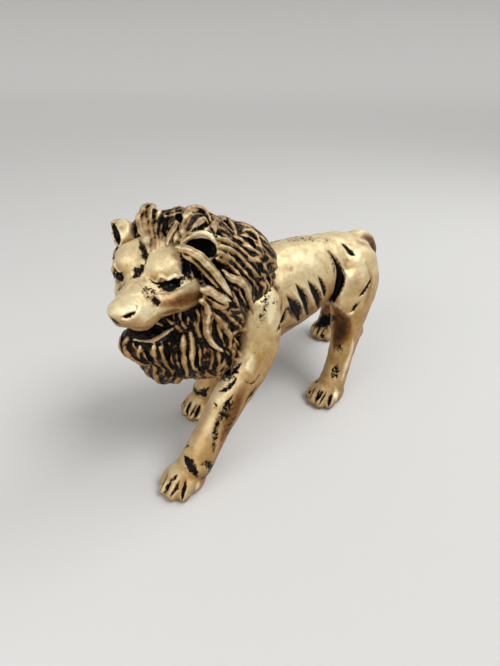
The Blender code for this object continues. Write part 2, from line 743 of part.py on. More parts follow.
def take_leg(body, name, parts, cutters):
    """Splits one leg off the body at its seam, with a spigot into the body."""
    outline = seam_outline(name)
    sign = -1 if "right" in name else 1
    spigot_place = FRONT_SPIGOT_SHARES if name.startswith("front") else HIND_SPIGOT_SHARES
    leg = copy_of(body, name, parts)
    boolean(leg, leg_zone(outline, sign, LEG_SEAM_OFFSET, name + "_zone", cutters), "INTERSECT")
    outline = grown_outline(outline, SEAM_GAP)
    boolean(body, leg_zone(outline, sign, LEG_SEAM_OFFSET - SEAM_GAP, name + "_gap", cutters), "DIFFERENCE")
    keep_largest(leg)
    start = body_point(0, *spigot_place) + sign * LEFT * LEG_SEAM_OFFSET
    spigot_pair(leg, body, start, -sign * LEFT, LEG_SPIGOT_DIAMETER, LEG_SPIGOT_LENGTH, cutters)
    return keep_largest(leg)


def boxed(obj, low, high, operation, name, cutters, turn=None, about=None):
    """Cuts or keeps what lies in a box."""
    bm = bmesh.new()
    add_box(bm, low, high, turn, about)
    return boolean(obj, cutter_from(bm, name, cutters), operation)


def take_tail(body, parts, cutters):
    """Splits the tail off behind the rump, with a spigot into the body."""
    seam = TAIL_SEAM_SHARE * TRUNK_LENGTH
    low = Vector((-LEG_SEAM_OFFSET, seam, 0))
    high = Vector((LEG_SEAM_OFFSET, seam + OVERRUN, 2 * OVERRUN))
    tail = copy_of(body, "tail", parts)
    boxed(tail, low, high, "INTERSECT", "tail_zone", cutters)
    low -= BACK * SEAM_GAP + LEFT * OVERRUN
    boxed(body, low, high + LEFT * OVERRUN, "DIFFERENCE", "tail_gap", cutters)
    keep_largest(tail)
    points = [v.co for v in tail.data.vertices if abs(v.co.y - seam) < WELD_DISTANCE]
    middle = sum(points, Vector()) / len(points)
    spigot_pair(tail, body, middle, -BACK, TAIL_SPIGOT_DIAMETER, TAIL_SPIGOT_LENGTH, cutters)
    return keep_largest(tail)


def split_torso(body, parts, cutters):
    """Splits the body down the middle and doweles the halves together."""
    right = copy_of(body, "torso_right", parts)
    body.name = "torso_left"
    low = Vector((SEAM_GAP / 2, -2 * OVERRUN, -OVERRUN))
    high = Vector((2 * OVERRUN, 4 * OVERRUN, 4 * OVERRUN))
    boxed(body, low, high, "INTERSECT", "left_half", cutters)
    boxed(right, (-high.x, low.y, low.z), (-low.x, high.y, high.z), "INTERSECT", "right_half", cutters)
    keep_largest(body)
    keep_largest(right)
    for place in DOWEL_SHARES:
        start = body_point(0, *place) + LEFT * SEAM_GAP / 2
        spigot_pair(body, right, start, -LEFT, DOWEL_DIAMETER, DOWEL_REACH, cutters)
    return keep_largest(body), keep_largest(right)


def add_head_forms(bm):
    """Cranium, brows, cheeks and muzzle."""
    turn = turn_of_head()
    for centre, half in HEAD_BLOB_SHARES:
        add_ellipsoid(bm, head_point(*centre), [h * HEAD_SIZE for h in half], turn)
    for (side, forward, up), half in HEAD_PAIR_SHARES:
        for sign in (-1, 1):
            add_ellipsoid(bm, head_point(sign * side, forward, up), [h * HEAD_SIZE for h in half], turn)
    add_loft(bm, head_rows(MUZZLE_SHARES), side=head_turn()[0])


def head_box(obj, low, high, operation, name, cutters):
    """Cuts or keeps what lies in a box given in head shares: side, backwards, up."""
    scaled = [Vector(corner) * HEAD_SIZE for corner in (low, high)]
    return boxed(obj, *scaled, operation, name, cutters, turn_of_head(), body_point(*HEAD_ORIGIN_SHARES))


def eye_form(name, sign, clearance, collection, cutters):
    """An eyeball joined to the stem that holds it in its socket."""
    side, forward, up = EYE_PLACE_SHARES
    centre = head_point(sign * side, forward, up)
    radius = EYE_DIAMETER / 2 + clearance
    bm = bmesh.new()
    add_ellipsoid(bm, centre, (radius, radius, radius))
    stem = bmesh.new()
    add_bar(stem, centre, -head_turn()[1], EYE_STEM_DIAMETER + 2 * clearance, radius + EYE_STEM_LENGTH)
    return boolean(object_from(bm, name, collection), cutter_from(stem, name + "_stem", cutters), "UNION")


def build_eye(name, sign, head, parts, cutters):
    """One eye on its stem, with its socket cut in the head."""
    socket = eye_form(name + "_socket", sign, SEAM_GAP, cutters, cutters)
    socket.hide_render = True
    socket.display_type = "WIRE"
    boolean(head, socket, "DIFFERENCE")
    return keep_largest(eye_form(name, sign, 0, parts, cutters))


def build_head(parts, cutters):
    """The head from its seam to the nose, with sockets, nostrils and the roof of the mouth cut in."""
    bm = bmesh.new()
    add_head_forms(bm)
    head = sculpt(object_from(bm, "head", parts), HEAD_VOXEL, HEAD_SMOOTHING, HEAD_FACES)
    turn = turn_of_head()
    side = head_turn()[0]
    bm = bmesh.new()
    for sign in (-1, 1):
        x, y, z = EYE_PLACE_SHARES
        radii = [share * HEAD_SIZE for share in SOCKET_HALF_SHARES]
        add_ellipsoid(bm, head_point(sign * x, y + SOCKET_HALF_SHARES[1] / 2, z), radii, turn)
    boolean(head, cutter_from(bm, "eye_hollows", cutters), "DIFFERENCE")
    bm = bmesh.new()
    for sign in (-1, 1):
        rows = [(sign * x, y, z, w, d) for x, y, z, w, d in NOSTRIL_SHARES]
        add_loft(bm, head_rows(rows), side=UP, sides=RING_SIDES // 2)
    boolean(head, cutter_from(bm, "nostrils", cutters), "DIFFERENCE")
    bm = bmesh.new()
    add_loft(bm, head_rows(MOUTH_SHARES), side=side)
    boolean(head, cutter_from(bm, "mouth_roof", cutters), "DIFFERENCE")
    head_box(head, (-1, -HEAD_SEAM_SHARE, -2), (1, 2, 2), "DIFFERENCE", "head_back", cutters)
    return keep_largest(head)


def join_neck(body, head, cutters):
    """Puts the spigot of the neck into the back of the head."""
    ahead = head_turn()[1]
    start = head_point(*NECK_SPIGOT_SHARES) - ahead * SEAM_GAP
    spigot_pair(body, head, start, ahead, NECK_SPIGOT_DIAMETER, NECK_SPIGOT_LENGTH, cutters)
    keep_largest(head)


def build_jaw(head, parts, cutters):
    """The lower jaw, hollow inside the lip and cut to fit under the head."""
    bm = bmesh.new()
    add_loft(bm, head_rows(JAW_SHARES), side=head_turn()[0])
    add_hanging_locks(bm, CHIN_LOCK_SHARES)
    jaw = sculpt(object_from(bm, "lower_jaw", parts), HEAD_VOXEL, 2, JAW_FACES)
    bm = bmesh.new()
    centre, half = JAW_HOLLOW_SHARES
    add_ellipsoid(bm, head_point(*centre), [h * HEAD_SIZE for h in half], turn_of_head())
    boolean(jaw, cutter_from(bm, "jaw_hollow", cutters), "DIFFERENCE")
    boolean(jaw, grown(head, SKIN_CLEARANCE, cutters), "DIFFERENCE")
    head_box(jaw, (-1, -HEAD_SEAM_SHARE, -2), (1, 2, 2), "DIFFERENCE", "jaw_back", cutters)
    return keep_largest(jaw)


def build_ear(name, place, head, parts, cutters):
    """A cupped ear that opens forwards and outwards."""
    sign = 1 if name == "ear_left" else -1
    centre = head_point(*place)
    turn = Matrix.Rotation(HEAD_YAW + sign * EAR_SPLAY, 3, "Z")
    radii = np.array(EAR_HALF_SHARES) * EAR_WIDTH
    bm = bmesh.new()
    add_ellipsoid(bm, centre, radii, turn)
    ear = object_from(bm, name, parts)
    bm = bmesh.new()
    opening = turn @ Vector((0, -radii[1] * EAR_OPENING_SHARE, 0))
    add_ellipsoid(bm, centre + opening, radii - EAR_WALL, turn)
    boolean(ear, cutter_from(bm, name + "_cup", cutters), "DIFFERENCE")
    boolean(ear, grown(head, SKIN_CLEARANCE, cutters), "DIFFERENCE")
    return keep_largest(ear)


def mane_blobs():
    """The mane's ellipsoids as centre, half sizes and turn, the collar last."""
    size = np.array((MANE_WIDTH, MANE_DEPTH, MANE_HEIGHT))
    blobs = [(body_point(*centre), size * half, Matrix.Identity(3)) for centre, half in MANE_BLOB_SHARES]
    return blobs + [(head_point(*COLLAR_CENTRE_SHARES), size * COLLAR_HALF_SHARES, turn_of_head())]


def mane_distance(points):
    """Roughly how far points lie outside the mane's smoothly blended ellipsoids."""
    total = 0
    for centre, radii, turn in mane_blobs():
        scaled = np.linalg.norm((points - np.array(centre)) @ np.array(turn) / radii, axis=-1)
        total = total + np.exp(-(scaled - 1) * radii.min() / MANE_BLEND)
    return -MANE_BLEND * np.log(total)


def settle_on_mane(point, rise):
    """The point moved to stand that far off the mane's surface, and the surface's direction there."""
    for step in range(6):
        nudge = np.eye(3) * LOCK_RISE
        slope = (mane_distance(point + nudge) - mane_distance(point - nudge)) / (2 * LOCK_RISE)
        normal = slope / np.linalg.norm(slope)
        point = point - normal * (mane_distance(point) - rise) / np.linalg.norm(slope)
    return point, normal


def lock_flow(point):
    """The way hair lies: backwards along the crest, turning downwards at the sides and chest."""
    height = (point[2] / WITHERS_HEIGHT - FLOW_LOW_SHARE) / (FLOW_HIGH_SHARE - FLOW_LOW_SHARE)
    height = min(max(height, 0.0), 1.0)
    return np.array((0, FLOW_BACK_SHARE * height, -1 + FLOW_LIFT_SHARE * height))


def add_lock(bm, start, length, thickness, phase):
    """A tapered wavy lock that runs over the mane from a start point."""
    point, normal = settle_on_mane(np.array(start), LOCK_RISE)
    steps = max(4, round(length / LOCK_STEP))
    rows = []
    for i in range(steps + 1):
        share = i / steps
        wave = LOCK_ROOT_SHARE + (LOCK_TIP_SHARE - LOCK_ROOT_SHARE) * share
        radius = thickness / 2 * math.sin(math.pi * wave) ** LOCK_FULLNESS
        rows.append((*point, radius, radius * LOCK_FLATNESS_SHARE))
        flow = lock_flow(point)
        flow = flow - normal * flow.dot(normal)
        flow /= np.linalg.norm(flow)
        swing = math.sin(phase + share * 2 * math.pi * LOCK_WAVES)
        sway = np.cross(normal, flow) * LOCK_SWAY_SHARE * swing
        lift = LOCK_RISE * (1 + share)
        point, normal = settle_on_mane(point + (flow + sway) * LOCK_STEP, lift)
    add_loft(bm, rows, side=Vector(normal), steps=1, sides=RING_SIDES // 2)


def add_curl(bm, points, thickness):
    """A tapered lock through points in head shares."""
    rows = []
    for i, share in enumerate(points):
        radius = thickness / 2 * CURL_TAPER_SHARES[min(i, len(CURL_TAPER_SHARES) - 1)]
        rows.append((*head_point(*share), radius, radius))
    add_loft(bm, rows, side=head_turn()[0], steps=4, sides=RING_SIDES // 2)


def add_hanging_locks(bm, rows):
    """Straight locks that hang from the jaw or the throat."""
    for side, start, end, thick in rows:
        middle = [(a + b) / 2 for a, b in zip(start, end)]
        points = [(side, *place) for place in (start, middle, end)]
        add_curl(bm, points, LOCK_THICKNESS * thick)


def add_locks(bm):
    """Rows of locks behind the face, the forelock, the locks beside the cheeks and the beard."""
    chance = random.Random(LOCK_SEED)
    for count, first, last, back, length in LOCK_ROW_SHARES:
        for i in range(count):
            angle = first + (last - first) * (i + 0.3 * chance.random()) / (count - 1)
            start = head_point(math.sin(angle), back - 0.1 * chance.random(), math.cos(angle))
            size = LOCK_THICKNESS * chance.uniform(0.85, 1.15)
            long = LOCK_LENGTH * length * chance.uniform(0.85, 1.15)
            add_lock(bm, start, long, size, chance.uniform(0, math.pi))
    for start, middle, end, thick in FORELOCK_SHARES:
        add_curl(bm, (start, middle, end), LOCK_THICKNESS * thick)
    for start, middle, end, thick in FACE_LOCK_SHARES:
        for spread in FACE_LOCK_SIDE_SHARES:
            points = [(spread * x, y, z) for x, y, z in (start, middle, end)]
            add_curl(bm, points, LOCK_THICKNESS * thick)
    add_hanging_locks(bm, BEARD_LOCK_SHARES)


def build_mane(parts, cutters, fitted):
    """The mane's mass and locks fused, cleared round what it fits and split into its castings."""
    bm = bmesh.new()
    for centre, radii, turn in mane_blobs():
        add_ellipsoid(bm, centre, radii, turn)
    add_locks(bm)
    mane = sculpt(object_from(bm, "mane", parts), MANE_VOXEL, 2, MANE_FACES)
    mane[SKIN_MARK] = True
    for other in fitted:
        boolean(mane, grown(other, SKIN_CLEARANCE, cutters), "DIFFERENCE")
    return split_mane(keep_largest(mane), parts, cutters)


def split_mane(mane, parts, cutters):
    """Splits the mane into a crest, a left and a right side, and the ruff on the chest."""
    middle = MANE_SEAM_SHARE * STANCE_WIDTH
    half, far, gap = CREST_WIDTH / 2, 4 * OVERRUN, SEAM_GAP / 2
    crest_low, ruff_top = CREST_FLOOR_SHARE * WITHERS_HEIGHT, RUFF_TOP_SHARE * WITHERS_HEIGHT
    crest = copy_of(mane, "mane_crest", parts)
    boxed(crest, (middle - half + gap, -far, crest_low + gap), (middle + half - gap, far, far),
          "INTERSECT", "crest_zone", cutters)
    ruff = copy_of(mane, "chest_ruff", parts)
    boxed(ruff, (-far, -far, -far), (far, far, ruff_top - gap), "INTERSECT", "ruff_zone", cutters)
    boxed(mane, (middle - half - gap, -far, crest_low - gap), (middle + half + gap, far, far),
          "DIFFERENCE", "crest_gap", cutters)
    right = copy_of(mane, "mane_right", parts)
    mane.name = "mane_left"
    floor = ruff_top + gap
    boxed(mane, (middle + gap, -far, floor), (far, far, far), "INTERSECT", "mane_left_zone", cutters)
    boxed(right, (-far, -far, floor), (middle - gap, far, far), "INTERSECT", "mane_right_zone", cutters)
    return [keep_largest(piece) for piece in (crest, ruff, mane, right)]


def finish(obj):
    """Gives a piece its own Principled material."""
    colour, metallic, roughness = EYE_FINISH if obj.name.startswith("eye") else GOLD_FINISH
    material = bpy.data.materials.new(obj.name + "_finish")
    material.use_nodes = True
    shader = material.node_tree.nodes["Principled BSDF"]
    shader.inputs["Base Color"].default_value = colour
    shader.inputs["Metallic"].default_value = metallic
    shader.inputs["Roughness"].default_value = roughness
    obj.data.materials.clear()
    obj.data.materials.append(material)


def centre_on_origin(pieces):
    """Moves the figure so that the middle of its footprint's bounding box is the origin."""
    points = np.array([vert.co for piece in pieces for vert in piece.data.vertices])
    middle = (points.min(axis=0) + points.max(axis=0)) / 2
    for piece in pieces:
        piece.data.transform(Matrix.Translation((-middle[0], -middle[1], 0)))


def main():
    """Builds the figure."""
    clear_scene()
    parts = new_collection("lion_figure")
    cutters = new_collection("cutters")
    body = build_body(parts, cutters)
    head = build_head(parts, cutters)
    jaw = build_jaw(head, parts, cutters)
    build_eye("eye_left", 1, head, parts, cutters)
    build_eye("eye_right", -1, head, parts, cutters)
    ears = [build_ear(name, place, head, parts, cutters) for name, place in EAR_PLACE_SHARES.items()]
    build_mane(parts, cutters, [head, jaw, *ears, body])
    join_neck(body, head, cutters)
    for name in LEG_SEAM_SHARES:
        take_leg(body, name, parts, cutters)
    take_tail(body, parts, cutters)
    split_torso(body, parts, cutters)
    centre_on_origin(list(parts.objects))
    for piece in parts.objects:
        finish(piece)


main()
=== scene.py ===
"""Dresses the striding lion figure: a fine sculpt over its castings, antique gold paint and a studio."""

import math
import random

import bpy
import numpy as np
from bpy.props import FloatProperty, FloatVectorProperty, IntProperty, PointerProperty
from mathutils import Matrix, Vector, noise
from mathutils.bvhtree import BVHTree


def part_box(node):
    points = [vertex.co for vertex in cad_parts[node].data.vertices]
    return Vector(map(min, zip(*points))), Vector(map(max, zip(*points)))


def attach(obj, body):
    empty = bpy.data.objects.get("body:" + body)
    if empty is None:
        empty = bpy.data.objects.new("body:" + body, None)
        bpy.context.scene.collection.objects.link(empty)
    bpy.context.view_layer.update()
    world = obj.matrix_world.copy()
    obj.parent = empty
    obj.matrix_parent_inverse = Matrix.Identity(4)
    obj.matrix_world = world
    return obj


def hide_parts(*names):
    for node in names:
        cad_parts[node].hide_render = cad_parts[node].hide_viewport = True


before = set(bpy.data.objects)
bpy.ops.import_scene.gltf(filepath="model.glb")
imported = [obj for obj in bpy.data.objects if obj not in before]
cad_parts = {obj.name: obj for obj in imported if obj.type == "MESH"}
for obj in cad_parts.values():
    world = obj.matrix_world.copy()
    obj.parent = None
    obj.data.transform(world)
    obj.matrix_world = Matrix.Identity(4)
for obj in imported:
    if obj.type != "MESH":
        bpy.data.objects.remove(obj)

bl_info = {
    "name": "Striding lion figure",
    "version": (1, 0, 0),
    "blender": (4, 5, 0),
    "location": "View3D > Sidebar > Lion",
    "description": "Sculpts and paints a toy lion round its packed castings",
    "category": "Add Mesh",
}

MM = 0.001
UP = np.array((0.0, 0.0, 1.0))
LEFT = np.array((1.0, 0.0, 0.0))

# The photograph's frame in pixels, and where its camera stood: degrees, then metres
PHOTO_WIDTH, PHOTO_HEIGHT = 500, 666
FOCAL_PIXELS = 520.3
CAMERA_AZIMUTH, CAMERA_ELEVATION, CAMERA_ROLL = 45.0, 29.2, 0.8
CAMERA_DISTANCE = 278.2 * MM
CAMERA_TARGET = (0.1 * MM, 7.4 * MM, 54.9 * MM)
SENSOR_HEIGHT = 24.0

# How far the head turns to its left, and how much further the muzzle turns than the brow does
HEAD_YAW = math.radians(20)
MUZZLE_TURN = math.radians(4)
# How far the middle of the face lies to the left of the point between the ears, in head shares
FACE_ASIDE_SHARE = 0.05

# Sides of a tube and of a ball, the angles at which a tube's domed ends have rings, and the least half width
RING_SIDES, BALL_SIDES = 20, 32
DOME_ANGLES = (math.radians(35), math.radians(65))
SMALLEST = 0.001 * MM
# Voxel sizes that the forms are fused with
LIMB_VOXEL, BODY_VOXEL, FACE_VOXEL = 0.8 * MM, 0.6 * MM, 0.4 * MM
EYE_VOXEL, MANE_VOXEL = 0.35 * MM, 0.42 * MM
# How often a loose speck's vertices are compared, which numbers it through
SPECK_ROUNDS = 6
# How many times a skin is relaxed: the limbs before the paws join, the body, the face and the small pieces
LIMB_ROUNDS, BODY_ROUNDS, FACE_ROUNDS, SMALL_ROUNDS = 30, 10, 8, 3
# Worn lumps on each skin: their size and their height
BODY_LUMPS = ((7 * MM, 0.5 * MM), (2.6 * MM, 0.14 * MM))
HEAD_LUMPS = ((4.5 * MM, 0.3 * MM), (1.8 * MM, 0.12 * MM))
JAW_LUMPS = ((2 * MM, 0.4 * MM),)
EAR_LUMPS = ((3.8 * MM, 1.1 * MM),)
MANE_LUMPS = ((3.4 * MM, 0.45 * MM), (1.2 * MM, 0.13 * MM))
# Rounds of relaxing that the fine and the coarse relief are measured against
BODY_RELIEF, JAW_RELIEF, EAR_RELIEF, MANE_RELIEF = (6, 60), (6, 40), (4, 30), (3, 50)
# How much wider than its traced line a mark is stained, given a painted highlight and pressed
STAIN_SPREAD, HIGHLIGHT_SPREAD, PRESS_SPREAD = 1.5, 1.3, 1.15
# How much the fine relief counts beside the coarse one, and how many millimetres of relief a full painted
# highlight adds
FINE_GAIN, HIGHLIGHT_HEIGHT = 1.3, 0.45
# How black the inside of a scooped hollow is, and the least that the jaw is, whose black is partly painted
# shadow under the lip
SCOOP_BLACK, JAW_BLACK_AND_SHADOW = 1.6, 0.85

# How far the ridges along a lock stand out, as a share of its half width
RIDGE_SHARE = 0.16
# Steps along a small lock
LOCK_STEPS = 12
# How many times a traced lock's depth is evened out along it
LOCK_SMOOTHING = 6
# How fast the locks' sway changes along each axis, in radians per millimetre
LOCK_WAVE = (0.10, 0.13, 0.34)
# How much the small locks differ: shares of their thickness and length, their drift aside, the start of
# their sway in radians, and how far in millimetres they stand off the mass
LOCK_RANGES = ((0.5, 1.45), (0.7, 1.3), (-0.2, 0.2), (-0.5, 0.5), (0.1, 1.0))
# Traced locks narrower than this many pixels have fewer ridges
NARROW_LOCK, FEW_RIDGES, MANY_RIDGES = 6, 3, 5
# How far off the mass, in millimetres, a lock's relief counts as neither deep nor high
LOCK_RISE = 1.6
# How far apart the places are that are tried along a pixel's ray, and where they start and end as shares
# of the camera's distance
RAY_STEP, RAY_START_SHARE, RAY_END_SHARE = 0.25 * MM, 0.5, 1.4

# What is painted on every vertex for the materials to read
PAINT_LAYERS = ("relief", "grime", "wear", "glaze")
# Paint of each skin: the relief in millimetres above which it is gold, how soft that edge is, how freckled
# with black the gold is, how flecked with gold the black is, and how far above the edge the brown reaches
PAINTS = {
    "body_gold": (-0.30, 0.08, 0.03, 0.0, 0.38),
    "head_gold": (-0.30, 0.08, 0.02, 0.0, 0.38),
    "jaw_gold": (-0.25, 0.08, 0.02, 0.0, 0.38),
    "ear_gold": (-0.25, 0.08, 0.02, 0.0, 0.38),
    "mane_gold": (0.10, 0.10, 0.06, 0.03, 0.75),
}
# Sizes of the paint's clouds, from the broadest to the finest
BROAD_SIZE, BLOTCH_SIZE, SPECK_SIZE, GRAIN_SIZE = 9 * MM, 1.9 * MM, 0.6 * MM, 0.3 * MM
EYE_CLOUD_SIZE = 1.5 * MM
PAINT_BUMP = 0.15 * MM

# Square lamps: name, offset from the figure and width, in metres
LAMPS = (
    ("key", (0.16, 0.46, 0.58), 0.45),
    ("fill", (0.10, -0.70, 0.30), 0.6),
)
SUN_DIRECTION, SUN_ANGLE = (0.6, 0.15, 0.9), math.radians(30)
AMBIENT_TINT, PAPER_TINT = (1.0, 0.97, 0.93, 1.0), (0.7, 0.7, 0.7, 1.0)
# Half the floor's width, the radius of the bend up into the backdrop, and the bend's steps
FLOOR_HALF, FLOOR_BEND, BEND_STEPS = 2.5, 0.6, 12
PAPER_CLOUD_SIZE = 60 * MM
CLIP_START, CLIP_END = 10 * MM, 20

# Trunk stations: place along the length, top and underside as height shares, half width share
TRUNK_SHARES = (
    (-0.30, 0.90, 0.56, 0.60),
    (-0.20, 0.96, 0.50, 0.82),
    (-0.05, 1.0, 0.47, 0.98),
    (0.12, 1.01, 0.48, 1.0),
    (0.28, 1.005, 0.50, 0.98),
    (0.44, 0.995, 0.515, 0.92),
    (0.58, 0.98, 0.55, 0.80),
    (0.72, 0.96, 0.60, 0.76),
    (0.86, 0.935, 0.62, 0.80),
    (0.98, 0.90, 0.68, 0.66),
    (1.02, 0.865, 0.73, 0.36),
)
# Limb stations: side, length and height shares, then half width and half depth shares
FRONT_LEFT_SHARES = (
    (0.30, -0.04, 0.82, 0.62, 0.80),
    (0.38, -0.06, 0.70, 0.62, 0.72),
    (0.42, -0.09, 0.60, 0.57, 0.64),
    (0.42, -0.165, 0.50, 0.53, 0.60),
    (0.42, -0.27, 0.40, 0.50, 0.53),
    (0.41, -0.355, 0.30, 0.49, 0.49),
    (0.405, -0.43, 0.20, 0.48, 0.47),
    (0.40, -0.50, 0.11, 0.50, 0.46),
)
FRONT_RIGHT_SHARES = (
    (-0.30, -0.04, 0.82, 0.62, 0.80),
    (-0.38, -0.02, 0.70, 0.62, 0.74),
    (-0.40, 0.02, 0.58, 0.57, 0.66),
    (-0.41, 0.04, 0.46, 0.52, 0.58),
    (-0.42, 0.02, 0.34, 0.49, 0.52),
    (-0.42, -0.02, 0.22, 0.48, 0.48),
    (-0.42, -0.075, 0.12, 0.50, 0.46),
)
HIND_LEFT_SHARES = (
    (0.24, 0.84, 0.80, 0.55, 1.00),
    (0.30, 0.80, 0.68, 0.66, 1.16),
    (0.36, 0.73, 0.57, 0.60, 0.98),
    (0.40, 0.685, 0.47, 0.52, 0.72),
    (0.42, 0.67, 0.38, 0.47, 0.58),
    (0.43, 0.63, 0.28, 0.44, 0.48),
    (0.44, 0.59, 0.18, 0.43, 0.45),
    (0.45, 0.545, 0.10, 0.48, 0.45),
)
HIND_RIGHT_SHARES = (
    (-0.24, 0.86, 0.80, 0.55, 1.00),
    (-0.32, 0.86, 0.68, 0.66, 1.14),
    (-0.38, 0.88, 0.57, 0.60, 0.96),
    (-0.44, 0.98, 0.46, 0.52, 0.70),
    (-0.50, 1.12, 0.36, 0.47, 0.56),
    (-0.54, 1.185, 0.26, 0.46, 0.49),
    (-0.57, 1.195, 0.16, 0.46, 0.47),
    (-0.58, 1.175, 0.09, 0.48, 0.45),
)
NECK_SHARES = (
    (0.00, 0.04, 0.80, 0.92, 0.98),
    (0.00, -0.14, 0.90, 0.90, 0.95),
    (-0.02, -0.30, 1.00, 0.84, 0.86),
    (-0.02, -0.46, 1.05, 0.76, 0.78),
)
TAIL_SHARES = (
    (0.0, 0.92, 0.86, 0.80, 0.80),
    (0.0, 1.02, 0.865, 0.66, 0.66),
    (0.0, 1.10, 0.84, 0.52, 0.52),
    (0.0, 1.165, 0.77, 0.47, 0.47),
    (-0.02, 1.19, 0.68, 0.44, 0.44),
    (-0.04, 1.20, 0.60, 0.42, 0.42),
    (-0.06, 1.21, 0.53, 0.60, 0.60),
    (-0.07, 1.20, 0.46, 0.56, 0.56),
    (-0.07, 1.19, 0.41, 0.24, 0.24),
)
# Bony points on the limbs: centre in body shares and half sizes in shares of the leg's thickness
LIMB_POINT_SHARES = (
    ((0.35, -0.045, 0.455), (0.28, 0.36, 0.48)),
    ((-0.36, 0.10, 0.46), (0.28, 0.36, 0.48)),
    ((0.43, 0.755, 0.40), (0.30, 0.34, 0.42)),
    ((-0.50, 1.19, 0.38), (0.30, 0.34, 0.42)),
    ((0.41, -0.485, 0.135), (0.52, 0.50, 0.36)),
    ((-0.42, -0.06, 0.14), (0.52, 0.50, 0.36)),
)
# Paws: where the middle toes end, and how many degrees the paw turns outwards
PAW_PLACE_SHARES = (
    (0.38, -0.675, 3),
    (-0.44, -0.23, -3),
    (0.44, 0.395, 3),
    (-0.58, 1.035, -2),
)
TOE_SHARES = (
    (-0.35, -0.12, 0.88),
    (-0.125, 0.0, 1.0),
    (0.125, 0.0, 1.0),
    (0.35, -0.12, 0.88),
)
TOE_PATH_SHARES = (
    (1.0, 0.13, 0.22, 0.50),
    (0.92, 0.32, 0.50, 0.54),
    (0.70, 0.58, 0.62, 0.50),
)
# Slots between the toes: their places across the paw and their path, which closes in a little at its end
TOE_SLOT_SIDE_SHARES = (-0.24, 0.0, 0.24)
TOE_SLOT_PATH_SHARES = ((1.0, -0.14, 0.14), (1.0, -0.02, 0.38), (1.0, 0.14, 0.62), (0.9, 0.26, 0.75))
PAD_HALF_SHARES = (0.47, 0.42, 0.60)
PAD_CENTRE_SHARES = (0.0, 0.56, 0.40)

# Seam outlines of the legs in length and height shares: an arc's centre and half sizes, and a skirt below it
SEAM_ARC_ANGLES = tuple(math.radians(a) for a in range(-20, 201, 20))
LEG_SEAM_SHARES = {
    "front_left_leg": (
        (-0.06, 0.69), (0.17, 0.17),
        ((-0.90, 0.44), (-0.90, -0.10), (0.35, -0.10), (0.35, 0.42), (0.08, 0.455), (0.07, 0.56)),
    ),
    "front_right_leg": (
        (-0.02, 0.69), (0.17, 0.17),
        ((-0.40, 0.44), (-0.40, -0.10), (0.35, -0.10), (0.35, 0.42), (0.19, 0.45), (0.17, 0.56)),
    ),
    "hind_left_leg": (
        (0.81, 0.69), (0.24, 0.20),
        ((0.53, 0.55), (0.48, 0.44), (0.37, 0.36), (0.37, -0.10), (1.50, -0.10), (1.50, 0.54),
         (1.10, 0.58)),
    ),
    "hind_right_leg": (
        (0.86, 0.69), (0.24, 0.20),
        ((0.62, 0.57), (0.66, 0.46), (0.80, 0.36), (0.80, -0.10), (1.50, -0.10), (1.50, 0.54),
         (1.12, 0.58)),
    ),
}
LEG_SEAM_SIDE_SHARE = 0.22
TAIL_SEAM_SHARE = 1.065

# The point between the eyes, in body shares
HEAD_ORIGIN_SHARES = (0.04, -0.56, 1.048)
HEAD_BLOB_SHARES = (
    ((0.0, -0.32, 0.04), (0.44, 0.41, 0.36)),
    ((0.0, -0.20, 0.20), (0.32, 0.26, 0.18)),
    ((0.0, -0.08, 0.15), (0.23, 0.15, 0.16)),
    ((0.0, -0.02, -0.09), (0.26, 0.22, 0.20)),
    ((0.0, 0.13, -0.11), (0.20, 0.22, 0.185)),
    ((0.0, 0.29, -0.145), (0.165, 0.20, 0.155)),
    ((0.0, 0.43, -0.15), (0.14, 0.125, 0.115)),
    ((0.0, 0.485, -0.115), (0.135, 0.075, 0.075)),
)
HEAD_PAIR_SHARES = (
    ((0.205, -0.05, 0.185), (0.170, 0.185, 0.155)),
    ((0.33, -0.20, 0.14), (0.135, 0.20, 0.15)),
    ((0.105, 0.29, -0.245), (0.110, 0.18, 0.135)),
    ((0.335, -0.19, -0.155), (0.115, 0.30, 0.15)),
    ((0.40, -0.38, -0.13), (0.125, 0.20, 0.14)),
    ((0.205, 0.06, -0.17), (0.10, 0.20, 0.12)),
)
JAW_SHARES = (
    (0.0, -0.30, -0.44, 0.29, 0.15),
    (0.0, -0.16, -0.55, 0.28, 0.12),
    (0.0, 0.02, -0.61, 0.24, 0.095),
    (0.0, 0.14, -0.64, 0.195, 0.08),
    (0.0, 0.19, -0.65, 0.15, 0.065),
)
EYE_PLACE_SHARES = (0.285, 0.055, 0.005)
# An eye's half width and half height as shares of its radius
EYE_WIDTH_SHARE, EYE_OPENING_SHARE = 0.96, 0.72
EAR_PLACE_SHARES = {"ear_left": (0.53, -0.24, 0.37), "ear_right": (-0.46, -0.30, 0.34)}
EAR_HALF_SHARES = (0.66, 0.45, 0.48)
EAR_OPENING_SHARE = 0.60
EAR_SPLAY = math.radians(35)
# The hollow inside the lower lip, in head shares
JAW_HOLLOW_SHARES = ((0.0, 0.0, -0.50), (0.215, 0.24, 0.125))

# Mane forms in body shares: centre and half sizes as shares of the mane's width, depth and height
MANE_BLOB_SHARES = (
    ((-0.05, -0.27, 0.92), (0.44, 0.42, 0.42)),
    ((0.00, -0.09, 0.975), (0.37, 0.39, 0.29)),
    ((0.00, -0.29, 0.72), (0.36, 0.33, 0.36)),
    ((-0.05, -0.30, 1.155), (0.25, 0.28, 0.16)),
)
# Forms of the mane that turn with the head: centre in head shares and half sizes
COLLAR_SHARES = (
    ((0.0, -0.42, -0.08), (0.42, 0.21, 0.36)),
    ((0.0, -0.20, -0.84), (0.22, 0.13, 0.28)),
    ((-0.04, 0.06, -0.70), (0.17, 0.13, 0.12)),
)
MANE_SEAM_SHARE = -0.02
CREST_FLOOR_SHARE = 1.06
RUFF_TOP_SHARE = 0.73
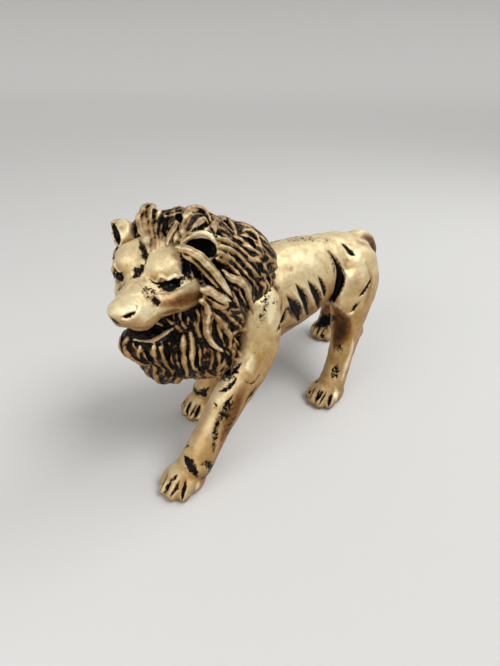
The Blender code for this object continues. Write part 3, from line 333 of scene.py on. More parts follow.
# Heights between which the hair turns from downwards to backwards, and how far back and up it turns
FLOW_HIGH_SHARE, FLOW_LOW_SHARE, FLOW_BACK_SHARE, FLOW_LIFT_SHARE = 1.25, 0.62, 1.0, 0.65
# The lowest place where the face is kept free of locks
FACE_FLOOR_SHARE = -0.62

# Marks traced on the photograph: pixels along the middle, width in pixels, depth in millimetres (less than
# nothing for a ridge), how black it is (less than nothing for a painted highlight, which also takes the
# black off), and how many millimetres further back its mirror image on the other side lies, or None where
# there is none
BODY_MARKS = (
    (((318, 276), (322, 283), (325, 292), (325, 296)), 7, 1.6, 1.0, 0),
    (((308, 281), (313, 289), (318, 299), (319, 309)), 9, 1.9, 1.0, 0),
    (((296, 284), (301, 292), (306, 303), (308, 315)), 9, 2.0, 1.0, 0),
    (((287, 296), (293, 304), (298, 312), (299, 321)), 12, 2.0, 1.0, 0),
    (((286, 309), (283, 320), (278, 331)), 9, 1.6, 1.0, 0),
    (((285, 306), (291, 311), (296, 318)), 9, 0.4, 0.7, 0),
    (((313, 278), (319, 290), (323, 303)), 5, -0.9, 0.0, 0),
    (((303, 283), (310, 297), (314, 310)), 5, -0.9, 0.0, 0),
    (((290, 288), (299, 302), (303, 315)), 5, -0.9, 0.0, 0),
    (((329, 251), (335, 259), (339, 268), (340, 277), (338, 288), (333, 301)), 11.5, 2.3, 1.0, 8),
    (((325, 249), (331, 256), (334, 265), (334, 275)), 9, 0.0, 0.5, 8),
    (((341, 270), (343, 281), (339, 292)), 4, -0.7, 0.0, 8),
    (((341, 243), (346, 247), (351, 253), (354, 255)), 6, 1.1, 1.0, 8),
    (((373, 275), (369, 284), (364, 292), (360, 296)), 4.5, 1.2, 1.0, None),
    (((361, 301), (356, 306), (351, 312)), 5, 0.5, 0.7, None),
    # Painted highlights on the knee, the flank's top, the shoulder, the hip, the hind leg's edge and the
    # paws
    (((331, 301), (338, 309), (346, 316), (353, 313)), 8, -1.0, -0.6, None),
    (((283, 252), (296, 258), (308, 262), (318, 262)), 24, 0.0, -0.9, 0),
    (((266, 285), (272, 296), (272, 310), (270, 322)), 14, 0.0, -1.0, None),
    (((352, 256), (360, 264), (362, 276)), 18, 0.0, -0.3, 8),
    (((353, 336), (352, 350), (347, 364), (342, 380)), 8, 0.0, -0.9, None),
    (((199, 480), (197, 488), (194, 496)), 8, 0.0, -1.0, None),
    (((335, 386), (337, 395), (336, 404)), 7, 0.0, -0.9, None),
    (((276, 245), (290, 241), (305, 239), (320, 239), (334, 241)), 16, 0.0, 0.34, None),
    (((268, 263), (271, 275), (268, 290), (265, 303), (263, 316), (258, 328)), 12, 0.0, 0.45, None),
    (((274, 296), (277, 306)), 12, 0.0, 0.4, None),
    (((252, 376), (250, 368), (252, 358)), 16, -0.9, 0.0, None),
    (((241, 376), (246, 382), (252, 384), (258, 378), (261, 372)), 3, 0.5, 0.6, None),
    # Black on the top of the near front leg, partly painted shadow of the mane
    (((238, 376), (233, 383), (226, 389), (219, 391)), 6, 0.6, 0.9, None),
    (((242, 362), (232, 372), (218, 380)), 14, 0.0, 0.75, None),
    (((258, 382), (255, 389), (249, 397), (245, 403)), 4, 0.3, 0.9, None),
    (((232, 397), (228, 402), (223, 408)), 4, 1.0, 1.0, None),
    (((222, 405), (219, 418), (217, 428), (215, 440), (213, 454)), 8, 0.5, 0.6, None),
    (((233, 395), (229, 405), (224, 414), (219, 424)), 14, 0.0, 0.6, None),
    (((238, 410), (231, 424), (224, 440)), 10, 0.0, 0.34, None),
    (((213, 403), (216, 405), (214, 409)), 4, 0.2, 0.7, None),
    (((184, 450), (187, 446), (190, 447)), 3, 0.2, 0.7, None),
    (((180, 450), (186, 458), (191, 466), (197, 477)), 11, 0.3, 0.95, None),
    (((199, 467), (205, 463), (211, 467), (208, 475), (201, 479)), 9, 0.3, 0.8, None),
    (((177, 474), (175, 477), (172, 481)), 3.5, 1.0, 1.0, None),
    (((186, 479), (185, 486), (183, 493), (182, 500)), 4, 1.1, 1.0, None),
    (((167, 484), (168, 490)), 4.5, 0.4, 0.9, None),
    (((179, 487), (176, 491)), 4, 0.4, 0.9, None),
    (((190, 402), (188, 409), (187, 417)), 4, 1.1, 1.0, None),
    (((201, 404), (198, 410), (195, 418)), 4, 1.1, 1.0, None),
    (((190, 391), (186, 397), (183, 405)), 3, 0.5, 0.6, None),
    (((198, 390), (204, 391), (209, 388)), 7, 0.0, 0.8, None),
    (((332, 393), (330, 399), (328, 407)), 4, 1.1, 1.0, None),
    (((323, 390), (320, 395), (316, 401)), 4, 1.1, 1.0, None),
    (((311, 391), (308, 393)), 4, 0.4, 0.9, None),
    (((338, 362), (336, 370), (332, 380)), 11, 0.2, 0.6, None),
    (((340, 336), (339, 346), (341, 354)), 10, 0.0, 0.45, None),
    (((319, 381), (315, 382)), 5, 0.3, 0.7, None),
    (((312, 326), (320, 323), (327, 320), (333, 318)), 17, 0.0, 1.1, None),
    (((323, 333), (322, 341)), 4, 1.0, 1.0, None),
)
FACE_MARKS = (
    # The socket's black includes painted shade under the brow
    (((159, 287), (165, 285), (171, 284), (177, 282), (184, 278)), 13, 2.6, 1.3, 0),
    (((161, 292), (168, 291), (175, 288), (181, 283)), 5, -1.1, 0.0, 0),
    (((149, 277), (154, 281), (158, 281), (161, 276), (168, 279), (175, 276), (181, 279), (185, 272)),
     5, -1.0, 0.0, 0),
    (((149, 279), (156, 283), (163, 283)), 3.5, 0.5, 0.9, 0),
    (((157, 293), (163, 293), (171, 290), (180, 285), (190, 281), (200, 278)), 7, -1.3, 0.0, 0),
    (((121, 318), (126, 317), (131, 315), (136, 312)), 5, 1.6, 1.0, 0),
    (((137, 312), (138, 307), (135, 303)), 3, 0.6, 0.3, 0),
    (((110, 317), (113, 320), (117, 323), (121, 325)), 9, 0.3, 1.0, None),
    (((124, 329), (135, 331), (147, 331), (153, 328), (158, 321)), 3.5, 0.3, 0.9, 0),
    (((158, 320), (165, 317), (173, 316), (182, 315)), 5, 0.9, 1.0, 0),
    (((154, 295), (156, 300), (158, 306)), 9, 0.6, 0.75, None),
    (((136, 282), (145, 289), (152, 296), (156, 305)), 17, 0.3, 0.42, 0),
    (((137, 234), (141, 243), (144, 252), (145, 262)), 12, 0.9, 0.7, None),
    (((146, 262), (141, 269), (136, 274), (131, 278)), 11, 0.5, 0.75, None),
    (((179, 246), (184, 254), (187, 263), (188, 272), (192, 280)), 15, 1.0, 0.9, None),
    (((176, 243), (180, 249), (182, 256)), 9, 0.0, 0.5, 0),
    (((121, 295), (127, 288), (133, 282)), 6, -0.3, 0.0, None),
    (((189, 256), (193, 265), (198, 275), (202, 284)), 12, 0.4, 1.0, None),
    # Painted highlights on the cheek's ridge, the nose's pad, the muzzle's top and the lip
    (((160, 296), (170, 293), (180, 289), (190, 285), (201, 281)), 9, 0.0, -1.0, 0),
    (((136, 308), (146, 311), (154, 313)), 22, 0.0, -0.8, 0),
    (((118, 296), (127, 297), (138, 301)), 16, 0.0, -0.7, 0),
    (((160, 316), (172, 314), (184, 312)), 5, 0.0, -0.6, 0),
)
JAW_MARKS = (
    (((150, 336), (158, 332), (166, 327), (173, 323)), 9, 1.0, 1.6, None),
    # The lip's rim: a raised ridge with a faint painted highlight
    (((121, 330), (126, 334), (132, 338), (141, 341), (151, 341), (158, 338), (167, 332), (177, 326)),
     5, -0.35, -0.05, 0),
)
MANE_MARKS = (
    (((176, 213), (179, 217), (181, 222)), 7, 1.5, 1.0, None),
    (((187, 224), (194, 217), (203, 214), (208, 219)), 7, 0.3, 0.5, None),
    (((189, 232), (197, 229), (206, 225)), 6, 0.5, 0.8, None),
    (((209, 224), (213, 231), (217, 238)), 4, 1.0, 1.0, None),
    (((222, 224), (228, 228), (233, 236)), 5, 0.4, 0.55, None),
    (((247, 238), (251, 241), (255, 247)), 6, 1.4, 1.0, None),
    (((161, 212), (164, 222), (169, 231)), 7, 0.3, 0.65, None),
    (((137, 236), (141, 243)), 4, 0.5, 0.9, None),
    (((207, 254), (214, 262), (222, 274), (229, 284)), 7, 1.0, 1.0, None),
    (((231, 288), (238, 296), (245, 308), (250, 320)), 5, 0.8, 0.9, None),
    # Black under the lip's rim, partly painted shadow under the lip
    (((152, 338), (160, 333), (168, 329), (174, 326)), 12, 0.0, 1.0, None),
    (((150, 345), (163, 343), (176, 337)), 6, 0.4, 0.8, None),
    (((166, 343), (169, 350), (168, 358)), 9, 1.5, 1.0, None),
    (((235, 337), (241, 341), (246, 347)), 8, 1.5, 1.0, None),
    (((225, 352), (229, 360), (231, 370)), 9, 1.2, 1.0, None),
    (((197, 350), (197, 361), (200, 372)), 5, 1.2, 1.0, None),
    (((146, 348), (149, 357), (155, 366)), 5, 1.0, 0.9, None),
    # Painted highlights on the tops of the forelock and of the large locks
    (((139, 208), (141, 218), (145, 230), (149, 244)), 14, 0.0, -0.6, None),
    (((152, 210), (152, 222), (153, 236)), 9, 0.0, -0.4, None),
    (((187, 252), (200, 258), (212, 270), (222, 284), (230, 295)), 8, 0.0, -0.5, None),
    (((205, 290), (216, 295), (226, 301), (232, 303)), 9, 0.0, -0.5, None),
    (((204, 304), (208, 318), (208, 332), (216, 346), (223, 351)), 8, 0.0, -0.45, None),
    (((222, 272), (234, 279), (245, 288), (250, 302), (254, 315)), 7, 0.0, -0.4, None),
    (((191, 336), (192, 350), (193, 368)), 7, 0.0, -0.4, None),
    (((184, 232), (185, 220), (192, 211), (203, 211)), 7, 0.0, -0.5, None),
    (((184, 237), (196, 232), (208, 234), (215, 243)), 5, 0.0, -0.5, None),
)
# Brown painted shade traced on the photograph where the figure lies in shade: pixels along the middle, width
# in pixels and strength
BODY_TRACED_SHADE = (
    (((250, 374), (242, 392), (234, 412), (226, 432), (217, 456)), 24, 1.15),
    (((262, 350), (258, 366), (250, 382)), 14, 0.6),
    (((331, 304), (338, 313), (342, 324), (341, 336), (337, 347)), 25, 1.6),
    (((335, 318), (336, 334), (334, 352)), 12, 1.3),
    (((278, 330), (292, 326), (306, 321), (322, 312), (330, 302)), 12, 1.25),
    (((278, 312), (290, 316)), 14, 0.7),
    (((352, 268), (356, 280), (350, 296)), 20, 0.5),
    (((366, 262), (371, 278), (368, 296), (360, 316)), 12, 0.7),
    (((222, 376), (208, 392), (198, 412)), 12, 0.5),
    (((186, 470), (182, 480), (176, 488)), 12, 0.7),
    (((360, 238), (367, 239), (373, 245), (376, 255)), 13, 1.3),
    (((218, 384), (209, 402), (202, 424), (194, 448)), 22, 0.5),
)
FACE_TRACED_SHADE = (
    (((152, 306), (163, 304), (172, 303), (182, 301), (192, 298), (202, 294), (212, 289)), 20, 1.2),
    (((122, 325), (131, 327), (142, 328), (152, 324)), 8, 0.9),
    (((160, 314), (170, 312), (182, 309)), 10, 1.2),
    (((136, 268), (139, 262), (141, 254)), 10, 0.4),
    (((183, 262), (180, 270)), 10, 0.5),
)
JAW_TRACED_SHADE = (
    (((118, 328), (126, 334), (132, 338), (141, 341), (151, 341), (158, 338), (167, 332), (180, 324)),
     9, 0.75),
)
# Smudges on the sides that the photograph hides: body shares along the middle, radius and depth in
# millimetres, and how black it is
SMUDGES = (
    (((-0.53, -0.13, 0.16), (-0.42, -0.18, 0.17), (-0.32, -0.12, 0.16)), 2.6, 0.2, 0.8),
    (((-0.70, 1.13, 0.13), (-0.58, 1.08, 0.15), (-0.48, 1.13, 0.14)), 2.6, 0.2, 0.8),
    (((-0.55, 0.06, 0.52), (-0.53, 0.11, 0.43)), 2.0, 0.8, 0.9),
    (((-0.54, 0.03, 0.34), (-0.55, -0.02, 0.22)), 2.2, 0.3, 0.5),
    (((-0.40, 1.08, 0.66), (-0.46, 1.10, 0.54)), 1.8, 1.0, 0.9),
    (((-0.58, 0.98, 0.50), (-0.62, 1.08, 0.42)), 2.2, 0.4, 0.5),
    (((-0.66, 1.22, 0.34), (-0.68, 1.24, 0.22)), 1.8, 0.5, 0.6),
    (((0.53, 0.70, 0.38), (0.54, 0.66, 0.26)), 1.8, 0.5, 0.5),
    (((0.30, 0.76, 0.42), (0.30, 0.72, 0.28)), 2.4, 0.4, 0.6),
    (((-0.30, 0.00, 0.42), (-0.30, -0.02, 0.26)), 2.4, 0.4, 0.6),
    (((0.30, -0.30, 0.38), (0.29, -0.38, 0.26)), 2.4, 0.4, 0.6),
    (((0.0, 0.02, 0.46), (0.0, 0.25, 0.48), (0.0, 0.50, 0.52)), 5.0, 0.0, 0.4),
    (((-0.10, 0.20, 1.0), (-0.08, 0.40, 1.0), (-0.08, 0.60, 0.98)), 4.5, 0.0, 0.32),
    (((-0.20, 0.96, 0.86), (-0.28, 1.0, 0.76)), 3.0, 0.2, 0.32),
    (((0.20, 0.97, 0.84), (0.26, 1.0, 0.74)), 3.0, 0.2, 0.32),
)
# Grooves round the tail's tuft and the heights that each runs through
TUFT_GROOVES = 7
TUFT_HEIGHT_SHARES = (0.57, 0.49, 0.41)
# Grooves of the toes and of the tuft in millimetres: how wide they are stained, how black, and how wide and
# deep they are pressed
TOE_SLOT_CUT = (1.1, 0.8, 1.3, 0.8)
TUFT_CUT = (1.0, 0.8, 1.2, 0.9)

# Locks traced on the photograph: pixels along the middle, width in pixels, and how far in millimetres the
# root and the tip stand off what they lie on
TRACED_LOCKS = (
    (((139, 215), (140, 223), (143, 232), (147, 242), (149, 254)), 8, 2.6, -0.2),
    (((146, 208), (145, 218), (146, 229), (149, 241), (150, 259)), 8.5, 2.4, -0.3),
    (((153, 206), (151, 217), (151, 229), (153, 241), (153, 255)), 8.5, 2.4, -0.3),
    (((159, 212), (157, 222), (156, 231), (157, 241), (157, 251)), 7.5, 2.0, -0.3),
    (((165, 217), (162, 226), (160, 234), (161, 241), (161, 248)), 6.5, 1.6, -0.3),
    (((141, 214), (145, 208), (151, 206), (157, 210)), 7, 2.5, 2.5),
    (((190, 214), (181, 222), (174, 231), (169, 239), (167, 246)), 8, 2.5, 0.8),
    (((186, 226), (180, 233), (176, 240), (174, 246)), 6, 2.0, 0.8),
    (((169, 226), (171, 216), (177, 209), (184, 211), (184, 219), (178, 226)), 6, 1.0, 2.0),
    (((183, 232), (184, 222), (188, 212), (197, 209), (206, 212), (211, 222)), 9, 2.0, 2.5),
    (((185, 238), (188, 226), (194, 217), (201, 214)), 8, 1.5, 2.5),
    (((190, 234), (197, 225), (204, 220), (209, 226)), 8, 1.5, 2.0),
    (((183, 242), (189, 238), (200, 233), (210, 236), (217, 245), (217, 255)), 5, 2.5, 2.5),
    (((212, 236), (214, 225), (221, 219), (229, 222), (234, 231), (237, 239)), 8, 1.0, 2.5),
    (((206, 230), (214, 228), (223, 231), (230, 237), (237, 244)), 6, 1.5, 1.5),
    (((222, 228), (228, 231), (236, 238), (246, 246)), 6, 1.5, 1.5),
    (((237, 244), (241, 234), (249, 231), (256, 236), (260, 246), (264, 255)), 6, 0.5, 2.5),
    (((228, 236), (236, 238), (244, 244), (252, 252), (260, 262)), 6, 1.5, 1.5),
    (((217, 238), (226, 241), (236, 247), (245, 254), (253, 262), (260, 271)), 6, 1.5, 2.0),
    (((220, 246), (230, 250), (239, 257), (247, 265), (255, 273), (263, 280)), 6, 2.0, 2.0),
    (((218, 252), (226, 256), (235, 263), (242, 270), (249, 277)), 6, 2.0, 2.2),
    (((217, 258), (225, 262), (232, 268), (240, 276), (248, 281)), 5, 2.0, 2.0),
    (((254, 248), (261, 254), (266, 261), (269, 270)), 5, 1.0, 1.5),
    (((255, 258), (262, 265), (268, 274), (272, 282)), 5, 1.0, 1.5),
    (((250, 264), (258, 271), (265, 280), (270, 289)), 5, 1.0, 1.5),
    (((240, 270), (248, 277), (255, 285), (260, 294)), 5, 1.5, 1.5),
    (((264, 283), (266, 292), (264, 302)), 4, 1.0, 1.2),
    (((178, 248), (188, 250), (200, 257), (211, 268), (221, 281), (229, 292), (233, 298)), 9, 1.8, 3.8),
    (((184, 255), (196, 262), (207, 273), (217, 285), (226, 296)), 6, 1.2, 3.0),
    (((203, 289), (212, 292), (220, 298), (229, 305)), 9, 1.5, 3.0),
    (((205, 296), (212, 302), (221, 307), (231, 306)), 7, 1.5, 2.6),
    (((207, 287), (216, 292), (225, 298), (232, 302)), 6, 2.0, 3.4),
    (((221, 271), (231, 278), (241, 282), (247, 290), (250, 302), (254, 317)), 8, 2.0, 3.2),
    (((224, 282), (232, 287), (240, 294), (244, 303)), 5, 1.0, 1.5),
    (((238, 300), (243, 308), (246, 318), (250, 328)), 5, 1.0, 1.5),
    (((252, 296), (258, 301), (260, 309), (259, 317)), 5, 1.0, 1.0),
    (((202, 301), (207, 305), (209, 314), (207, 327), (209, 338), (216, 347), (224, 352)), 9, 2.0, 2.8),
    (((217, 349), (219, 359), (219, 370)), 5, 1.5, 2.0),
    (((203, 305), (203, 316), (204, 327)), 5, 1.5, 1.5),
    (((213, 312), (220, 320), (226, 329), (230, 339), (230, 351)), 7, 2.0, 2.2),
    (((222, 311), (230, 318), (238, 325), (243, 332)), 5, 1.5, 1.8),
    (((215, 320), (219, 330), (222, 339), (225, 347)), 4.5, 1.5, 1.8),
    (((228, 303), (236, 309), (242, 317), (247, 325)), 4.5, 1.0, 1.5),
    (((231, 334), (238, 329), (246, 331), (252, 339), (253, 350)), 6, 1.5, 1.8),
    (((236, 350), (241, 356), (242, 364)), 5, 1.0, 1.5),
    (((244, 345), (249, 352), (247, 361)), 5, 1.0, 1.5),
    (((229, 353), (235, 360), (238, 367)), 4.5, 1.0, 1.5),
    (((184, 336), (183, 348), (184, 360), (187, 372), (187, 378)), 6, 2.0, 2.2),
    (((191, 333), (192, 346), (192, 358), (194, 371)), 6.5, 2.0, 2.4),
    (((198, 340), (200, 352), (199, 364), (196, 372)), 5, 1.5, 2.0),
    (((205, 345), (204, 356), (201, 367)), 5.5, 1.2, 1.6),
    (((211, 350), (212, 360), (208, 370)), 5, 1.2, 1.6),
    (((154, 344), (154, 353), (158, 363), (165, 371)), 5.5, 1.5, 2.0),
    (((161, 343), (161, 352), (165, 362), (172, 371)), 5.5, 1.5, 2.0),
    (((168, 341), (169, 351), (172, 361), (176, 371)), 5, 1.0, 1.5),
    (((176, 338), (176, 350), (178, 362), (181, 373)), 5, 1.0, 1.5),
    (((127, 342), (125, 349), (129, 357)), 6, 0.6, 1.0),
    (((134, 344), (136, 352), (134, 361)), 5, 0.8, 1.4),
    (((141, 346), (139, 353), (145, 364)), 7, 0.6, 1.2),
    (((149, 346), (151, 355), (150, 366)), 5, 0.8, 1.6),
)


def length(name, description, millimetres):
    return FloatProperty(name=name, description=description, default=millimetres * MM, unit="LENGTH")


def lengths(name, description, *millimetres):
    return FloatVectorProperty(name=name, description=description,
                               default=[value * MM for value in millimetres], unit="LENGTH")


def tint(name, description, *value):
    return FloatVectorProperty(name=name, description=description, default=value, subtype="COLOR")


def brightness(name, description, value):
    return FloatProperty(name=name, description=description, default=value, min=0)


class LionSizes(bpy.types.PropertyGroup):
    """Sizes of the figure, which its tables of shares follow."""

    stance: length("Stance width", "Width that side shares follow", 50)
    trunk: length("Trunk length", "Length that length shares follow", 100)
    withers: length("Withers height", "Height that height shares follow", 100)
    head: length("Head size", "Size that the head's shares follow", 40)
    trunk_width: length("Trunk width", "Width of the trunk at its widest", 42)
    neck: length("Neck thickness", "Thickness of the neck", 38)
    leg: length("Leg thickness", "Thickness that the limbs follow", 17)
    tail: length("Tail thickness", "Thickness that the tail follows", 7.5)
    paw: lengths("Paw", "Width, length and height of a paw", 20.5, 25, 14.5)
    toe: length("Toe thickness", "Thickness of a middle toe", 6.6)
    mane: lengths("Mane", "Width, depth and height of the mane", 60, 54, 66)
    crest: length("Crest width", "Width of the crest's casting", 26)
    lock_spacing: length("Lock spacing", "Distance between the roots of small locks", 2.8)
    lock: length("Lock thickness", "Thickness of a small lock", 3.4)
    lock_length: length("Lock length", "Length of a small lock", 15)
    ear: length("Ear width", "Width that the ears follow", 13)
    ear_wall: length("Ear wall", "Thickness of the ear's shell", 1.6)
    eye: length("Eye diameter", "Diameter that the eyes follow", 6.6)
    seed: IntProperty(name="Lock seed", description="Start of the small locks' variation", default=11)


class LionFinish(bpy.types.PropertyGroup):
    """Colours of the paint."""

    gold: tint("Gold", "Antique gold on the raised forms", 0.62, 0.39, 0.12)
    # Pale gold is also the colour of the painted highlights
    pale_and_highlight: tint("Pale gold", "Rubbed gold on the highest edges", 0.93, 0.81, 0.52)
    # Umber is the paint's brown by the grooves and also the colour of the painted shade
    umber: tint("Umber", "Brown glaze where gold meets the grooves", 0.24, 0.09, 0.016)
    patina: tint("Patina", "Black left in the grooves", 0.0035, 0.0035, 0.004)
    eye: tint("Eye", "Glossy black of the eyes", 0.004, 0.004, 0.004)


class LionStudio(bpy.types.PropertyGroup):
    """Floor and lamps."""

    floor: tint("Floor", "Colour of the floor", 0.66, 0.66, 0.65)
    backdrop: tint("Backdrop", "Colour seen behind the floor", 0.70, 0.72, 0.74)
    key: brightness("Key lamp", "Power of the large lamp in watts", 2.1)
    fill: brightness("Fill lamp", "Power of the lamp beside the camera in watts", 2.7)
    sun: brightness("Window light", "Strength of the even light from one side", 1.65)
    world: brightness("Ambient", "Strength of the surrounding light", 0.28)


def sizes():
    return bpy.context.scene.lion_sizes


def spline(stations, steps):
    """Catmull-Rom points through rows of numbers, with that many steps between rows."""
    rows = np.array(stations, float)
    padded = np.vstack([2 * rows[0] - rows[1], rows, 2 * rows[-1] - rows[-2]])
    made = []
    for i in range(1, len(padded) - 2):
        a, b, c, d = padded[i - 1:i + 3]
        for t in np.arange(steps) / steps:
            curve = 2 * b + (c - a) * t + (2 * a - 5 * b + 4 * c - d) * t ** 2
            made.append(0.5 * (curve + (3 * b - a - 3 * c + d) * t ** 3))
    made.append(rows[-1])
    return np.array(made)


def table_point(side, along, height):
    """A place from body shares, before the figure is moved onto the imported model."""
    size = sizes()
    return np.array((side * size.stance, along * size.trunk, height * size.withers))


def head_axes():
    """The head's left and forward directions."""
    left = np.array((math.cos(HEAD_YAW), math.sin(HEAD_YAW), 0))
    forward = np.array((math.sin(HEAD_YAW), -math.cos(HEAD_YAW), 0))
    return left, forward


def head_offset(side, forward, up):
    """A step from the point between the eyes, in head shares."""
    left, ahead = head_axes()
    return (left * side + ahead * forward + UP * up) * sizes().head


def figure_shift():
    """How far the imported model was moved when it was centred, read off the left eye's round front."""
    low, high = (np.array(corner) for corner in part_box("eye_left"))
    radius = sizes().eye / 2
    seen = np.array((high[0] - radius, low[1] + radius, 0))
    told = table_point(*HEAD_ORIGIN_SHARES) + head_offset(*EYE_PLACE_SHARES)
    return (seen - told) * (1, 1, 0)


def body_point(side, along, height):
    """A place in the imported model's frame from body shares."""
    return table_point(side, along, height) + figure_shift()


def head_point(side, forward, up):
    """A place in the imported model's frame from head shares."""
    return body_point(*HEAD_ORIGIN_SHARES) + head_offset(side, forward, up)


def limb_rows(stations, thickness):
    """Tube stations out of a limb's table."""
    return [(*body_point(x, y, z), w * thickness, d * thickness) for x, y, z, w, d in stations]


def head_rows(stations):
    """Tube stations out of a table in head shares."""
    size = sizes().head
    return [(*head_point(x, y, z), w * size, d * size) for x, y, z, w, d in stations]


def turned(angle):
    """A turn to the left seen from above, as a matrix."""
    return np.array(Matrix.Rotation(angle, 3, "Z"))


def face_plane():
    """The direction across the face and a point on the plane that halves it."""
    return head_axes()[0], head_point(0, 0, 0)


def camera_axes():
    """The camera's place and its right, up and backward directions."""
    azimuth, elevation, roll = (math.radians(a) for a in (CAMERA_AZIMUTH, CAMERA_ELEVATION, CAMERA_ROLL))
    back = np.array((math.sin(azimuth) * math.cos(elevation),
                     -math.cos(azimuth) * math.cos(elevation), math.sin(elevation)))
    level = np.cross(-back, UP)
    level /= np.linalg.norm(level)
    upright = np.cross(level, -back)
    right = math.cos(roll) * level + math.sin(roll) * upright
    up = math.cos(roll) * upright - math.sin(roll) * level
    eye = np.array(CAMERA_TARGET) + figure_shift() + back * CAMERA_DISTANCE
    return eye, right, up, back


def pixel_ray(x, y):
    """The direction in which a pixel of the photograph looks."""
    eye, right, up, back = camera_axes()
    ray = right * (x - PHOTO_WIDTH / 2) - up * (y - PHOTO_HEIGHT / 2) - back * FOCAL_PIXELS
    return ray / np.linalg.norm(ray)


def seen_radius(width, path):
    """Half of a width in pixels, at the distance of a path on the figure."""
    return width / 2 * np.linalg.norm(path.mean(axis=0) - camera_axes()[0]) / FOCAL_PIXELS


def mark_swell(along):
    """How wide a mark is along its length: widest just past the middle and thin at its ends."""
    return np.sin(np.pi * np.clip(along, 0.05, 0.95) ** 1.3) ** 0.6


def link(name, data):
    """A new object in the scene."""
    obj = bpy.data.objects.new(name, data)
    bpy.context.scene.collection.objects.link(obj)
    return obj


def used_part(points, quads):
    """Which points the faces use, and the faces numbered for those alone."""
    used = np.unique(quads)
    index = np.full(len(points), -1)
    index[used] = np.arange(len(used))
    return used, index[quads]


def without_specks(points, quads):
    """The mesh without the small loose parts that fusing can leave."""
    group = np.arange(len(points))
    for _ in range(SPECK_ROUNDS):
        lowest = group[quads].min(axis=1)
        for corner in quads.T:
            np.minimum.at(group, corner, lowest)
        group = group[group]
    # Only a speck is numbered through by now, so the groups that still meet another are the main body
    whose = group[quads]
    meets = np.zeros(len(points), bool)
    meets[whose[(whose != whose[:, :1]).any(axis=1)]] = True
    used, kept = used_part(points, quads[meets[whose[:, 0]]])
    return points[used], kept


class Clay:
    """Overlapping closed forms, gathered before they are fused."""

    def __init__(self):
        self.points = []
        self.faces = []

    def add(self, points, faces):
        start = len(self.points)
        self.points.extend(points)
        self.faces.extend([tuple(start + i for i in face) for face in faces])

    def tube(self, stations, side=LEFT, steps=4, sides=RING_SIDES, ridges=0, twist=0.0):
        """A tube with oval rings and domed ends: each station is a centre, a half width and a half depth."""
        rows = spline(stations, steps)
        centres = rows[:, :3]
        half_width = np.maximum(rows[:, 3], SMALLEST)
        half_depth = np.maximum(rows[:, 4], SMALLEST)
        tangents = np.gradient(centres, axis=0)
        tangents /= np.linalg.norm(tangents, axis=1)[:, None]
        rings = list(zip(centres, tangents, half_width, half_depth))
        for end, sign in ((0, -1), (-1, 1)):
            centre, tangent, width, depth = centres[end], tangents[end], half_width[end], half_depth[end]
            for angle in DOME_ANGLES:
                reach = sign * tangent * math.sin(angle) * min(width, depth)
                ring = (centre + reach, tangent, width * math.cos(angle), depth * math.cos(angle))
                rings.insert(0 if sign < 0 else len(rings), ring)
        angles = np.arange(sides) * 2 * math.pi / sides
        points = []
        for i, (centre, tangent, width, depth) in enumerate(rings):
            across = np.array(side) - np.dot(side, tangent) * tangent
            across /= np.linalg.norm(across)
            upward = np.cross(tangent, across)
            swell = 1 + RIDGE_SHARE * np.cos(ridges * angles + twist * i) if ridges else 1
            ring = centre + np.outer(np.cos(angles) * width * swell, across)
            points.extend(ring + np.outer(np.sin(angles) * depth * swell, upward))
        faces = []
        for i in range(len(rings) - 1):
            for j in range(sides):
                k = (j + 1) % sides
                faces.append((i * sides + j, i * sides + k, (i + 1) * sides + k, (i + 1) * sides + j))
        faces.append(tuple(reversed(range(sides))))
        faces.append(tuple(range(len(points) - sides, len(points))))
        self.add(points, faces)

    def ball(self, centre, radii, turn=None):
        """An ellipsoid with the given half sizes."""
        sides = BALL_SIDES
        rings = sides // 2
        points = [UP * 1.0]
        for i in range(1, rings):
            lift = math.pi * i / rings
            for j in range(sides):
                angle = 2 * math.pi * j / sides
                points.append(np.array((math.sin(lift) * math.cos(angle),
                                        math.sin(lift) * math.sin(angle), math.cos(lift))))
        points.append(UP * -1.0)
        turn = np.eye(3) if turn is None else turn
        placed = np.array(points) * radii @ np.array(turn).T + centre
        last = len(points) - 1
        faces = []
        for j in range(sides):
            k = (j + 1) % sides
            faces.append((0, 1 + j, 1 + k))
            faces.append((last, last - sides + k, last - sides + j))
            for i in range(rings - 2):
                a = 1 + i * sides
                faces.append((a + j, a + sides + j, a + sides + k, a + k))
        self.add(placed, faces)

    def fuse(self, voxel, whole=True):
        """One skin round all the forms, freed of loose specks unless it is whole anyway."""
        mesh = bpy.data.meshes.new("clay")
        mesh.from_pydata([tuple(p) for p in self.points], [], self.faces)
        obj = link("clay", mesh)
        remesh = obj.modifiers.new("fuse", "REMESH")
        remesh.mode = "VOXEL"
        remesh.voxel_size = voxel
        graph = bpy.context.evaluated_depsgraph_get()
        graph.update()
        fused = obj.evaluated_get(graph).to_mesh()
        points = np.empty(len(fused.vertices) * 3, np.float32)
        fused.vertices.foreach_get("co", points)
        corners = np.empty(len(fused.loops), np.int32)
        fused.loops.foreach_get("vertex_index", corners)
        points, quads = points.reshape(-1, 3).astype(float), corners.reshape(-1, 4).astype(np.int64)
        made = Skin(points, quads) if whole else Skin(*without_specks(points, quads))
        bpy.data.objects.remove(obj)
        bpy.data.meshes.remove(mesh)
        return made


